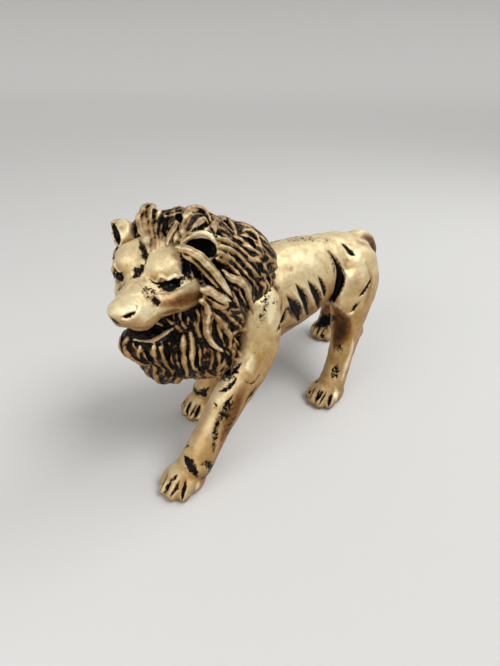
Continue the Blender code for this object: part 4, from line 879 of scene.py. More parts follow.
class Skin:
    """A fused surface held as arrays, which is shaped and painted and then split into pieces."""

    def __init__(self, points, quads):
        self.points = points
        self.quads = quads
        self.paint = {}
        ends = np.sort(np.concatenate([quads[:, [i, (i + 1) % 4]] for i in range(4)]), axis=1)
        keys = np.unique(ends[:, 0] * len(points) + ends[:, 1])
        self.edges = np.stack([keys // len(points), keys % len(points)])
        self.degree = np.bincount(self.edges.ravel(), minlength=len(points)).clip(1)
        self.look()

    def average(self, values):
        """The mean of each vertex's neighbours."""
        a, b = self.edges
        n = len(values)
        columns = [np.bincount(a, v[b], n) + np.bincount(b, v[a], n) for v in values.T]
        return np.stack(columns, axis=1) / self.degree[:, None]

    def relaxed(self, points, times):
        for _ in range(times):
            points = (points + self.average(points)) / 2
        return points

    def relax(self, times):
        self.points = self.relaxed(self.points, times)
        self.look()

    def ease(self, times):
        """Rounds creases off without thinning the forms much."""
        soft = self.relaxed(self.points, times)
        self.points = soft + self.relaxed(self.points - soft, times)
        self.look()

    def look(self):
        """Works out which way each vertex faces, and drops the search tree, which no longer fits."""
        p = self.points[self.quads]
        cross = np.cross(p[:, 2] - p[:, 0], p[:, 3] - p[:, 1])
        facing = np.zeros_like(self.points)
        for corner in self.quads.T:
            for axis in range(3):
                facing[:, axis] += np.bincount(corner, cross[:, axis], len(facing))
        self.facing = facing / np.linalg.norm(facing, axis=1)[:, None].clip(1e-12)
        self.tree = None

    def search_tree(self):
        """The tree that rays and nearest places are looked up in, grown when it is first needed."""
        if self.tree is None:
            self.tree = BVHTree.FromPolygons(self.points.tolist(), self.quads.tolist())
        return self.tree

    def nearest(self, point):
        return np.array(self.search_tree().find_nearest(Vector(point))[0])

    def under_pixels(self, pixels):
        """The path on the skin that shows along these pixels of the photograph."""
        eye = Vector(camera_axes()[0])
        tree = self.search_tree()
        hits = [tree.ray_cast(eye, Vector(pixel_ray(x, y)))[0] for x, y in spline(pixels, 4)]
        return np.array([hit for hit in hits if hit is not None])

    def mirrored(self, path, left, origin, back):
        """The same path on the other side of the plane through the origin, moved back."""
        step = np.array((0, back * MM, 0))
        return np.array([self.nearest(p - 2 * left * np.dot(p - origin, left) + step) for p in path])

    def mark(self, marks, left, origin):
        """Presses traced marks and stains them black, or lays a painted highlight where a mark is less than
        nothing black, and does the same to their mirror images where they are asked for.
        """
        lines = []
        for pixels, width, depth, black, back in marks:
            path = self.under_pixels(pixels)
            if len(path) < 2:
                continue
            radius = seen_radius(width, path)
            lines.append((path, radius, depth, black))
            if back is not None:
                lines.append((self.mirrored(path, left, origin, back), radius, depth, black))
        for path, radius, depth, black in lines:
            if black > 0:
                self.stain("grime", path, radius * STAIN_SPREAD, black)
            if black < 0:
                self.lay_highlight(path, radius * HIGHLIGHT_SPREAD, -black)
            self.press(path, radius * PRESS_SPREAD, depth * MM)
        self.look()

    def lay_highlight(self, path, radius, strength):
        """Takes the black off along a path and lays a painted highlight there."""
        inside, touch = self.near(path, radius)
        self.layer("grime")[inside] *= 1 - np.clip(touch * 1.6, 0, 1)
        self.stain("painted_highlight", path, radius, strength)

    def brush(self, lines):
        """Lays the brown painted shade that was traced on the photograph."""
        for pixels, width, strength in lines:
            path = self.under_pixels(pixels)
            if len(path) > 1:
                self.stain("glaze", path, seen_radius(width, path) * STAIN_SPREAD, strength)

    def layer(self, name):
        """A layer of paint: one value for each vertex, all nothing at first."""
        return self.paint.setdefault(name, np.zeros(len(self.points)))

    def near(self, path, radius, taper=True):
        """The vertices by a path and how strongly each is touched, from 1 on it to 0 at the radius."""
        low, high = path.min(axis=0) - radius, path.max(axis=0) + radius
        inside = np.flatnonzero(((self.points > low) & (self.points < high)).all(axis=1))
        points = self.points[inside]
        gap = np.full(len(inside), np.inf)
        along = np.zeros(len(inside))
        for i, (a, b) in enumerate(zip(path, path[1:])):
            step = b - a
            share = np.clip((points - a) @ step / max(step @ step, 1e-12), 0, 1)
            here = np.linalg.norm(points - a - share[:, None] * step, axis=1)
            closer = here < gap
            gap[closer] = here[closer]
            along[closer] = (i + share[closer]) / (len(path) - 1)
        swell = mark_swell(along) if taper else 1
        touch = np.clip(1 - (gap / (radius * swell)) ** 2, 0, 1) ** 2
        middle = self.facing[inside][touch > 0.5].mean(axis=0) if (touch > 0.5).any() else UP
        touch *= np.clip(self.facing[inside] @ middle * 4 + 1, 0, 1) * swell ** 0.5
        return inside, touch

    def press(self, path, radius, depth):
        """Sinks a groove along a path, or raises a ridge where the depth is negative."""
        inside, touch = self.near(path, radius)
        self.points[inside] -= self.facing[inside] * (touch * depth)[:, None]

    def stain(self, name, path, radius, strength, taper=True):
        """Paints a value along a path."""
        inside, touch = self.near(path, radius, taper)
        layer = self.layer(name)
        layer[inside] = np.maximum(layer[inside], touch * strength)

    def groove(self, places, spread, black, radius, depth, taper=True):
        """Stains and presses the line on the skin that runs nearest to these places."""
        line = np.array([self.nearest(place) for place in places])
        self.stain("grime", line, spread * MM, black, taper)
        self.press(line, radius * MM, depth * MM)

    def roughen(self, lumps):
        """Knocks the skin in and out like worn plaster, in lumps of about those sizes."""
        for size, height in lumps:
            bumps = np.array([noise.noise(Vector(p) / size) for p in self.points.tolist()])
            self.points += self.facing * (bumps * height)[:, None]
            self.look()

    def scoop(self, centre, radii, turn, towards):
        """Moves what lies in an ellipsoid to its far side, and blackens the hollow."""
        local = (self.points - centre) @ turn / radii
        axis = towards @ turn
        along = local @ axis
        across = ((local - np.outer(along, axis)) ** 2).sum(axis=1)
        far = np.sqrt(np.clip(1 - across, 0, None))
        inside = (across < 1) & (along < far)
        self.paint["grime"] = inside * np.clip((1 - across) * 4, 0, 1) * SCOOP_BLACK
        local[inside] += np.outer((far - along)[inside], axis)
        self.points = (local * radii) @ turn.T + centre
        self.look()

    def measure_relief(self, fine, coarse):
        """Paints how far each vertex stands above its surroundings, in millimetres, raised where painted
        highlights lie, and its painted shade.

        What faces down or lies low gets more painted shade, and so is browner."""
        near = self.relaxed(self.points, fine)
        far = self.relaxed(near, coarse - fine)
        rise = ((self.points - near) * self.facing).sum(axis=1)
        swell = ((near - far) * self.facing).sum(axis=1)
        relief = (rise * FINE_GAIN + swell)[:, None] / MM
        # Painted highlights raise the relief, so the gold is paler and less black under them
        painted_highlight = self.layer("painted_highlight")
        self.paint["relief"] = self.relaxed(relief, 2)[:, 0] + painted_highlight * HIGHLIGHT_HEIGHT
        # Painted shade: browner on what faces down and towards the bottom of the figure, lighter under
        # painted highlights
        low = np.clip(1.15 - 1.1 * self.points[:, 2] / sizes().withers, 0, 1)
        self.paint["wear"] = np.clip(0.28 - 0.7 * self.facing[:, 2] + 0.55 * low - 0.6 * painted_highlight, 0, 1)

    def split(self, labels, names, slot, material):
        """Makes one piece for each name out of the faces with its number, in the place of its CAD node."""
        for number, name in enumerate(names):
            quads = self.quads[labels == number]
            if not len(quads):
                raise RuntimeError(f"no face of the sculpt belongs to {name}")
            used, faces = used_part(self.points, quads)
            mesh = bpy.data.meshes.new(name + "_sculpt")
            mesh.from_pydata(self.points[used].tolist(), [], faces.tolist())
            mesh.polygons.foreach_set("use_smooth", [True] * len(quads))
            mesh.normals_split_custom_set_from_vertices(self.facing[used].tolist())
            for key in PAINT_LAYERS:
                values = self.layer(key)[used]
                mesh.attributes.new(key, "FLOAT", "POINT").data.foreach_set("value", values)
            mesh.materials.append(material)
            obj = link(name + "_sculpt", mesh)
            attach(obj, "root")
            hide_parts(name)

    def keep_whole(self, name, slot, material):
        """Makes one piece out of all the faces."""
        self.split(np.zeros(len(self.quads), int), [name], slot, material)


class Value:
    """A shader socket that takes part in Python sums."""

    def __init__(self, shader, socket):
        self.shader = shader
        self.socket = socket

    def sum_of(self, operation, first, second):
        return self.shader.node("ShaderNodeMath", {"operation": operation}, {0: first, 1: second})

    def __add__(self, other):
        return self.sum_of("ADD", self, other)

    __radd__ = __add__

    def __sub__(self, other):
        return self.sum_of("SUBTRACT", self, other)

    def __rsub__(self, other):
        return self.sum_of("SUBTRACT", other, self)

    def __mul__(self, other):
        return self.sum_of("MULTIPLY", self, other)

    __rmul__ = __mul__

    def ramp(self, low, high):
        """0 at low, 1 at high and smooth between them."""
        return self.shader.node(
            "ShaderNodeMapRange", {"interpolation_type": "SMOOTHSTEP"},
            {"Value": self, "From Min": low, "From Max": high},
        )

    def most(self, other):
        return self.sum_of("MAXIMUM", self, other)

    def least(self, other):
        return self.sum_of("MINIMUM", self, other)


class Shader:
    """A material and the one method that adds its nodes."""

    def __init__(self, name):
        self.material = bpy.data.materials.new(name)
        self.material.use_nodes = True
        self.tree = self.material.node_tree
        self.principled = self.tree.nodes["Principled BSDF"]

    def node(self, kind, settings=None, sockets=None, output=0):
        made = self.tree.nodes.new(kind)
        for key, value in (settings or {}).items():
            setattr(made, key, value)
        for key, value in (sockets or {}).items():
            self.plug(made.inputs[key], value)
        return Value(self, made.outputs[output])

    def plug(self, socket, value):
        if isinstance(value, Value):
            self.tree.links.new(value.socket, socket)
        else:
            socket.default_value = value

    def place(self):
        return self.node("ShaderNodeTexCoord", output="Object")

    def attribute(self, name):
        return self.node("ShaderNodeAttribute", {"attribute_name": name}, output="Fac")

    def noise(self, size, detail, roughness=0.5):
        """Cloudy noise from 0 to 1 with patches of about that size in metres."""
        return self.node(
            "ShaderNodeTexNoise", None,
            {"Vector": self.place(), "Scale": 1 / size, "Detail": detail, "Roughness": roughness},
        )

    def mix(self, share, first, second):
        """A colour between two others, through the Mix node's sockets for colours."""
        return self.node("ShaderNodeMix", {"data_type": "RGBA"}, {0: share, 6: first, 7: second}, 2)

    def bump(self, height, distance):
        return self.node("ShaderNodeBump", None, {"Height": height, "Distance": distance, "Strength": 1.0})

    def surface(self, **sockets):
        """Plugs values into the shader's own sockets, named with underscores for spaces."""
        for key, value in sockets.items():
            self.plug(self.principled.inputs[key.replace("_", " ")], value)
        return self.material


def opaque(colour):
    return (*colour, 1.0)


def gold_paint(name):
    """Antique gold rubbed over black, with brown where they meet, painted shade on the undersides and in
    traced places, and painted highlights.
    """
    line, soft, freckles, flecks, reach = PAINTS[name]
    finish = bpy.context.scene.lion_finish
    shader = Shader(name)
    relief, grime, wear, glaze = [shader.attribute(layer) for layer in PAINT_LAYERS]
    broad = shader.noise(BROAD_SIZE, 3, 0.6)
    blotch = shader.noise(BLOTCH_SIZE, 5, 0.65)
    speck = shader.noise(SPECK_SIZE, 4, 0.7)
    grain = shader.noise(GRAIN_SIZE, 2, 0.6)

    # The black stays in the depths, in the traced black and painted shadows, as dust, and as painted shade
    # under the heaviest traced shade
    height = relief + (blotch - 0.5) * 0.5 + (speck - 0.5) * 0.6
    dark = 1 - height.ramp(line - soft, line + soft)
    ragged = (speck - 0.5) * 5.0 + (blotch - 0.5) * 4.5
    spots = (grime * 2.5 + ragged).ramp(0.85, 1.15) * grime.ramp(0.02, 0.2)
    dust = (speck * 0.6 + grain * 0.4).ramp(0.58 - freckles, 0.64 - freckles)
    dust = dust * (1 - broad).ramp(0.35, 0.62) * 0.7
    gilt = (speck * 0.5 + grain * 0.2 + blotch * 0.3).ramp(0.58 - flecks, 0.66 - flecks) * 0.7
    shade = (glaze + (blotch - 0.5) * 0.8 + (broad - 0.5) * 0.9).ramp(0.75, 1.7) * 0.9
    black = (dark - gilt).most(spots).most(dust).most(shade)

    # The gold is paler in broad clouds, where raised edges are rubbed, and as a painted highlight on what
    # faces up and along traced highlights; it is browner by the black and under the painted shade
    gold = shader.mix(broad.ramp(0.30, 0.72) * 0.4, opaque(finish.gold), opaque(finish.pale_and_highlight))
    rubbed_and_lit = (1 - wear * 1.7).ramp(0.1, 0.9) * 0.55 + height.ramp(reach * 0.4, reach * 1.6) * 0.6
    gold = shader.mix(rubbed_and_lit.least(0.95), gold, opaque(finish.pale_and_highlight))
    # Brown by the grooves is the paint's own; the painted shade below and the traced painted shade are added
    # to it
    brown_and_shade = (1 - height.ramp(line, line + reach)) * 0.8
    brown_and_shade = brown_and_shade.most(wear * (0.45 + blotch * 0.8)).most(glaze * (0.55 + blotch * 0.8)).least(0.95)
    gold = shader.mix(brown_and_shade, gold, opaque(finish.umber))
    colour = shader.mix(black, gold, opaque(finish.patina))

    # The black lies a little lower than the gold
    skin = speck * 0.5 + blotch * 0.35 + grain * 0.3 - black * 0.35
    return shader.surface(
        Base_Color=colour,
        Metallic=black * 0.3 + 0.4,
        Roughness=(blotch * 0.18 + 0.26) + (1 - black) * 0.06,
        Normal=shader.bump(skin, PAINT_BUMP),
        Specular_IOR_Level=0.12,
        Coat_Weight=0.04,
        Coat_Roughness=0.15,
    )


def eye_paint():
    """Glossy black with a faint brown cloud."""
    finish = bpy.context.scene.lion_finish
    shader = Shader("eye_black")
    cloud = shader.noise(EYE_CLOUD_SIZE, 3)
    colour = shader.mix(cloud.ramp(0.55, 0.75) * 0.12, opaque(finish.eye), opaque(finish.umber))
    return shader.surface(Base_Color=colour, Roughness=cloud * 0.04 + 0.05, Specular_IOR_Level=0.1)


class Mass:
    """Ellipsoids blended smoothly into one another: each has a centre, half sizes and a turn."""

    def __init__(self, forms, blend):
        self.forms = forms
        self.blend = blend
        self.probe = np.eye(3) * 0.4 * MM

    def distance(self, points):
        """Roughly how far points lie outside the mass."""
        total = 0
        for centre, radii, turn in self.forms:
            scaled = np.linalg.norm((points - centre) @ turn / radii, axis=-1)
            total = total + np.exp(-(scaled - 1) * radii.min() / self.blend)
        return -self.blend * np.log(total)

    def slope(self, points):
        """How the distance grows along each axis."""
        grown = [self.distance(points + step) - self.distance(points - step) for step in self.probe]
        return np.stack(grown, axis=-1) / (2 * self.probe[0, 0])

    def settle(self, points, rise, rounds=6):
        """The points moved to stand that far off the mass, and the way the mass faces there."""
        for _ in range(rounds):
            slope = self.slope(points)
            length = np.linalg.norm(slope, axis=-1, keepdims=True)
            normal = slope / length
            points = points - normal * (self.distance(points) - rise)[..., None] / length
        return points, normal

    def clay(self):
        """The separate ellipsoids as clay."""
        made = Clay()
        for centre, radii, turn in self.forms:
            made.ball(centre, radii, turn)
        return made


def head_mass():
    """The skull, brows, cheeks and muzzle blended together."""
    size = sizes().head
    turn = turned(HEAD_YAW)
    further = turned(MUZZLE_TURN)
    shares = [*HEAD_BLOB_SHARES]
    for (side, forward, up), half in HEAD_PAIR_SHARES:
        shares += [((sign * side, forward, up), half) for sign in (-1, 1)]
    forms = []
    for (side, forward, up), half in shares:
        # Head shares count forwards, so the turned step is taken as (side, -forward)
        swung = further @ (side, -forward, up) if forward > 0 else (side, -forward, up)
        spin = further @ turn if forward > 0 else turn
        centre = head_point(swung[0] + FACE_ASIDE_SHARE, -swung[1], swung[2])
        forms.append((centre, np.array(half) * size, spin))
    return Mass(forms, 1.3 * MM)


def ear_frame(name):
    """An ear's centre, half sizes and turn."""
    sign = 1 if name == "ear_left" else -1
    turn = turned(HEAD_YAW + sign * EAR_SPLAY)
    return head_point(*EAR_PLACE_SHARES[name]), np.array(EAR_HALF_SHARES) * sizes().ear, turn


class ManeShape(Mass):
    """The mass that the mane's locks lie on."""

    def __init__(self):
        size = np.array(sizes().mane)
        forms = [(body_point(*centre), size * half, np.eye(3)) for centre, half in MANE_BLOB_SHARES]
        forms += [(head_point(*centre), size * half, turned(HEAD_YAW)) for centre, half in COLLAR_SHARES]
        super().__init__(forms, 1.5 * MM)
        self.head = head_mass()
        self.ears = Mass([ear_frame(name) for name in EAR_PLACE_SHARES], 0.5 * MM)

    def support(self, points):
        """How far points lie outside the mane, the head and the ears together."""
        under = np.minimum(self.distance(points), self.head.distance(points))
        return np.minimum(under, self.ears.distance(points))

    def under_pixel(self, x, y, rise):
        """Where a pixel's ray comes within the rise of the mass, or nearest to it where it misses."""
        eye = camera_axes()[0]
        ray = pixel_ray(x, y)
        reach = np.arange(CAMERA_DISTANCE * RAY_START_SHARE, CAMERA_DISTANCE * RAY_END_SHARE, RAY_STEP)
        gaps = self.support(eye + np.outer(reach, ray))
        inside = np.flatnonzero(gaps < rise)
        best = inside[0] if len(inside) else int(np.argmin(gaps))
        return eye + ray * reach[best]

    def flow(self, points):
        """The way hair lies: backwards along the crest, turning downwards at the sides and chest."""
        height = (points[:, 2] / sizes().withers - FLOW_LOW_SHARE) / (FLOW_HIGH_SHARE - FLOW_LOW_SHARE)
        height = np.clip(height, 0, 1)
        level = np.zeros(len(points))
        return np.stack([level, FLOW_BACK_SHARE * height, FLOW_LIFT_SHARE * height - 1], axis=1)

    def roots(self, spacing, chance):
        """Places spread over the mass at least that far apart."""
        skin = self.clay().fuse(spacing / 3)
        order = list(range(len(skin.points)))
        chance.shuffle(order)
        free = np.ones(len(skin.points), bool)
        kept = []
        for i in order:
            if free[i]:
                kept.append(i)
                free &= ((skin.points - skin.points[i]) ** 2).sum(axis=1) > spacing ** 2
        points = skin.points[kept]
        local = points - head_point(0, 0, 0)
        face = (local @ head_axes()[1] > 0) & (local[:, 2] > FACE_FLOOR_SHARE * sizes().head)
        buried = self.head.distance(points) < 0
        return points[~(face | buried)]


def lock_swell(share):
    """How thick a lock is along its length: rounded at the root and drawn out to a point."""
    return math.sin(math.pi * (0.24 + 0.73 * share)) ** 0.75


def add_small_locks(clay, shape, chance):
    """Tapered wavy locks that run over the whole mane, neighbours side by side."""
    size = sizes()
    points, normals = shape.settle(shape.roots(size.lock_spacing, chance), 0)
    draws = [np.array([chance.uniform(*span) for _ in points]) for span in LOCK_RANGES]
    thickness, step, drift, phase, lift = draws
    thickness = size.lock * thickness
    step = size.lock_length * step / LOCK_STEPS
    lift = lift * MM
    rows = []
    for i in range(LOCK_STEPS + 1):
        share = i / LOCK_STEPS
        radius = thickness / 2 * lock_swell(share)
        rows.append(np.column_stack([points, radius, radius * 0.9]))
        flow = shape.flow(points)
        flow -= normals * (flow * normals).sum(axis=1)[:, None]
        flow /= np.linalg.norm(flow, axis=1)[:, None]
        wave = np.sin(points @ np.array(LOCK_WAVE) / MM + phase) * 0.55 + drift
        sway = np.cross(normals, flow) * wave[:, None]
        points, normals = shape.settle(points + (flow + sway) * step[:, None], lift * (0.4 + share), 3)
    for lock, normal in zip(np.stack(rows, axis=1), normals):
        clay.tube(lock, side=normal, steps=1, sides=12, ridges=FEW_RIDGES, twist=0.12)


def add_traced_lock(clay, shape, pixels, width, root, tip):
    """A lock that shows along traced pixels, standing off what it lies on by root and tip."""
    eye = camera_axes()[0]
    dense = spline(pixels, 4)
    share = np.linspace(0, 1, len(dense))
    lift = (root + (tip - root) * share) * MM
    reach = np.array([np.linalg.norm(shape.under_pixel(x, y, h) - eye) for (x, y), h in zip(dense, lift)])
    for _ in range(LOCK_SMOOTHING):
        reach[1:-1] = (reach[:-2] + 2 * reach[1:-1] + reach[2:]) / 4
    rows = []
    for (x, y), far, part in zip(dense, reach, share):
        radius = width / 2 * far / FOCAL_PIXELS * lock_swell(part)
        rows.append((*(eye + pixel_ray(x, y) * far), radius, radius))
    ridges = FEW_RIDGES if width < NARROW_LOCK else MANY_RIDGES
    clay.tube(rows, side=camera_axes()[3], steps=1, sides=24, ridges=ridges, twist=0.1)


class LION_OT_body(bpy.types.Operator):
    """Sculpts the trunk, legs, paws and tail as one skin and splits it into its castings"""

    bl_idname = "lion.body"
    bl_label = "Trunk, legs and tail"

    def execute(self, context):
        size = sizes()
        clay = Clay()
        rows = []
        for along, top, bottom, width in TRUNK_SHARES:
            centre = body_point(0, along, (top + bottom) / 2)
            rows.append((*centre, width * size.trunk_width / 2, (top - bottom) / 2 * size.withers))
        clay.tube(rows)
        clay.tube(limb_rows(NECK_SHARES, size.neck / 2))
        for stations in (FRONT_LEFT_SHARES, FRONT_RIGHT_SHARES, HIND_LEFT_SHARES, HIND_RIGHT_SHARES):
            clay.tube(limb_rows(stations, size.leg))
        clay.tube(limb_rows(TAIL_SHARES, size.tail))
        for centre, half in LIMB_POINT_SHARES:
            clay.ball(body_point(*centre), [share * size.leg for share in half])
        soft = clay.fuse(LIMB_VOXEL)
        soft.ease(LIMB_ROUNDS)
        clay = Clay()
        clay.add(soft.points, soft.quads)
        for place in PAW_PLACE_SHARES:
            self.add_paw(clay, place)
        skin = clay.fuse(BODY_VOXEL)
        skin.relax(BODY_ROUNDS)
        skin.roughen(BODY_LUMPS)
        self.carve(skin)
        skin.relax(1)
        skin.points[:, 2] = np.maximum(skin.points[:, 2], 0)
        skin.look()
        skin.measure_relief(*BODY_RELIEF)
        names, labels = self.castings(skin)
        skin.split(labels, names, "gold_casting", gold_paint("body_gold"))
        return {"FINISHED"}

    def paw_frame(self, place):
        side, along, turn = place
        return body_point(side, along, 0), turned(math.radians(turn)), np.array(sizes().paw)

    def add_paw(self, clay, place):
        """A paw with a domed pad and four toes."""
        tip, spin, size = self.paw_frame(place)
        clay.ball(tip + spin @ (size * PAD_CENTRE_SHARES), size * PAD_HALF_SHARES, spin)
        for across, reach, thick in TOE_SHARES:
            rows = []
            for aside, along, height, radius in TOE_PATH_SHARES:
                half = sizes().toe * thick * radius
                rows.append((*(tip + spin @ (size * (across * aside, along - reach, height))), half, half))
            clay.tube(rows, side=spin @ LEFT)

    def carve(self, skin):
        """Cuts the slots between the toes, the smudges, the tuft's grooves and the traced marks."""
        for place in PAW_PLACE_SHARES:
            tip, spin, size = self.paw_frame(place)
            for across in TOE_SLOT_SIDE_SHARES:
                shares = [(across * aside, along, height) for aside, along, height in TOE_SLOT_PATH_SHARES]
                skin.groove([tip + spin @ (size * share) for share in shares], *TOE_SLOT_CUT)
        for places, radius, depth, black in SMUDGES:
            skin.groove([body_point(*place) for place in places], radius, black, radius, depth, False)
        side, along = TAIL_SHARES[-2][:2]
        for i in range(TUFT_GROOVES):
            angle = 2 * math.pi * i / TUFT_GROOVES
            around = np.array((math.cos(angle), math.sin(angle), 0)) * sizes().tail
            places = [body_point(side, along, height) + around for height in TUFT_HEIGHT_SHARES]
            skin.groove(places, *TUFT_CUT)
        skin.look()
        skin.mark(BODY_MARKS, LEFT, body_point(0, 0, 0))
        skin.brush(BODY_TRACED_SHADE)

    def castings(self, skin):
        """The name of each casting and the number of the one that each face belongs to."""
        middle = skin.points[skin.quads].mean(axis=1)
        names = ["torso_right", "torso_left", *LEG_SEAM_SHARES, "tail"]
        centre = body_point(0, 0, 0)
        labels = (middle[:, 0] > centre[0]).astype(int)
        offset = LEG_SEAM_SIDE_SHARE * sizes().stance
        for name in LEG_SEAM_SHARES:
            sign = -1 if "right" in name else 1
            beyond = (middle[:, 0] - centre[0]) * sign > offset
            labels[beyond & inside_outline(middle[:, 1:], seam_outline(name))] = names.index(name)
        seam = body_point(0, TAIL_SEAM_SHARE, 0)[1]
        behind = (middle[:, 1] > seam) & (abs(middle[:, 0] - centre[0]) < offset)
        labels[behind] = names.index("tail")
        return names, labels


def seam_outline(name):
    """A leg's seam in the side view, as (y, z) points."""
    centre, half, skirt = LEG_SEAM_SHARES[name]
    arc = [(centre[0] + half[0] * math.cos(a), centre[1] + half[1] * math.sin(a)) for a in SEAM_ARC_ANGLES]
    return np.array([body_point(0, *share)[1:] for share in [*arc, *skirt]])


def inside_outline(points, outline):
    """Which points lie in a closed outline."""
    inside = np.zeros(len(points), bool)
    for (y1, z1), (y2, z2) in zip(outline, np.roll(outline, -1, axis=0)):
        if z1 == z2:
            continue
        between = (points[:, 1] < max(z1, z2)) & (points[:, 1] >= min(z1, z2))
        cross = y1 + (points[:, 1] - z1) / (z2 - z1) * (y2 - y1)
        inside ^= between & (points[:, 0] < cross)
    return inside


class LION_OT_head(bpy.types.Operator):
    """Sculpts the head and the lower jaw"""

    bl_idname = "lion.head"
    bl_label = "Head and jaw"

    def execute(self, context):
        mass = head_mass()
        skin = mass.clay().fuse(FACE_VOXEL)
        skin.relax(FACE_ROUNDS)
        skin.points = mass.settle(skin.points, 0)[0]
        skin.relax(6)
        skin.points = mass.settle(skin.points, 0, 2)[0]
        skin.relax(SMALL_ROUNDS)
        skin.roughen(HEAD_LUMPS)
        skin.mark(FACE_MARKS, *face_plane())
        skin.brush(FACE_TRACED_SHADE)
        skin.measure_relief(*BODY_RELIEF)
        skin.keep_whole("head", "gold_casting", gold_paint("head_gold"))
        self.jaw()
        return {"FINISHED"}

    def jaw(self):
        """The lower jaw, hollow inside its lip."""
        clay = Clay()
        rows = [(side + FACE_ASIDE_SHARE, *row) for side, *row in JAW_SHARES]
        clay.tube(head_rows(rows), side=head_axes()[0])
        skin = clay.fuse(FACE_VOXEL)
        skin.relax(FACE_ROUNDS)
        centre, half = JAW_HOLLOW_SHARES
        skin.scoop(head_point(*centre), np.array(half) * sizes().head, turned(HEAD_YAW), -UP)
        skin.roughen(JAW_LUMPS)
        # The jaw is mostly black: partly patina and partly painted shadow under the lip
        skin.paint["grime"] = np.maximum(skin.paint["grime"], JAW_BLACK_AND_SHADOW)
        skin.mark(JAW_MARKS, *face_plane())
        skin.brush(JAW_TRACED_SHADE)
        skin.relax(2)
        skin.measure_relief(*JAW_RELIEF)
        skin.keep_whole("lower_jaw", "gold_casting", gold_paint("jaw_gold"))


class LION_OT_ears(bpy.types.Operator):
    """Models the cupped ears"""

    bl_idname = "lion.ears"
    bl_label = "Ears"

    def execute(self, context):
        paint = gold_paint("ear_gold")
        for name in EAR_PLACE_SHARES:
            centre, radii, turn = ear_frame(name)
            clay = Clay()
            clay.ball(centre, radii, turn)
            skin = clay.fuse(FACE_VOXEL)
            skin.relax(SMALL_ROUNDS)
            opening = centre - turn[:, 1] * radii[1] * EAR_OPENING_SHARE
            skin.scoop(opening, radii - sizes().ear_wall, turn, turn[:, 1])
            skin.roughen(EAR_LUMPS)
            skin.relax(SMALL_ROUNDS)
            skin.measure_relief(*EAR_RELIEF)
            skin.keep_whole(name, "gold_casting", paint)
        return {"FINISHED"}


class LION_OT_eyes(bpy.types.Operator):
    """Models the glossy eyes, raised under the brows"""

    bl_idname = "lion.eyes"
    bl_label = "Eyes"

    def execute(self, context):
        paint = eye_paint()
        radius = sizes().eye / 2
        half = [radius * share for share in (EYE_WIDTH_SHARE, EYE_WIDTH_SHARE, EYE_OPENING_SHARE)]
        side, forward, up = EYE_PLACE_SHARES
        for name, sign in (("eye_left", 1), ("eye_right", -1)):
            clay = Clay()
            centre = head_point(sign * side + FACE_ASIDE_SHARE, forward, up)
            clay.ball(centre + UP * radius * (1 - EYE_OPENING_SHARE), half)
            skin = clay.fuse(EYE_VOXEL)
            skin.relax(SMALL_ROUNDS)
            skin.keep_whole(name, "black_eye", paint)
        return {"FINISHED"}


class LION_OT_mane(bpy.types.Operator):
    """Sculpts the mane's locks over its mass and splits it into four castings"""

    bl_idname = "lion.mane"
    bl_label = "Mane"

    def execute(self, context):
        size = sizes()
        shape = ManeShape()
        chance = random.Random(size.seed)
        clay = shape.clay()
        add_small_locks(clay, shape, chance)
        for pixels, width, root, tip in TRACED_LOCKS:
            add_traced_lock(clay, shape, pixels, width, root, tip)
        skin = clay.fuse(MANE_VOXEL, whole=False)
        skin.relax(2)
        skin.roughen(MANE_LUMPS)
        skin.mark(MANE_MARKS, *face_plane())
        skin.measure_relief(*MANE_RELIEF)
        # Locks that stand off the mass catch more gold than the gaps between them
        rise = shape.distance(skin.points) / MM
        skin.paint["relief"] += np.clip(rise - LOCK_RISE, -1.2, 1.0) * 0.2 - 0.12
        names, labels = self.castings(skin)
        skin.split(labels, names, "dark_patina_gold", gold_paint("mane_gold"))
        return {"FINISHED"}

    def castings(self, skin):
        """The name of each casting and the number of the one that each face belongs to."""
        size = sizes()
        middle = skin.points[skin.quads].mean(axis=1)
        names = ["mane_right", "mane_left", "mane_crest", "chest_ruff"]
        seam = body_point(MANE_SEAM_SHARE, 0, 0)[0]
        labels = (middle[:, 0] > seam).astype(int)
        inner = abs(middle[:, 0] - seam) < size.crest / 2
        high = middle[:, 2] > CREST_FLOOR_SHARE * size.withers
        labels[inner & high] = names.index("mane_crest")
        labels[middle[:, 2] < RUFF_TOP_SHARE * size.withers] = names.index("chest_ruff")
        return names, labels


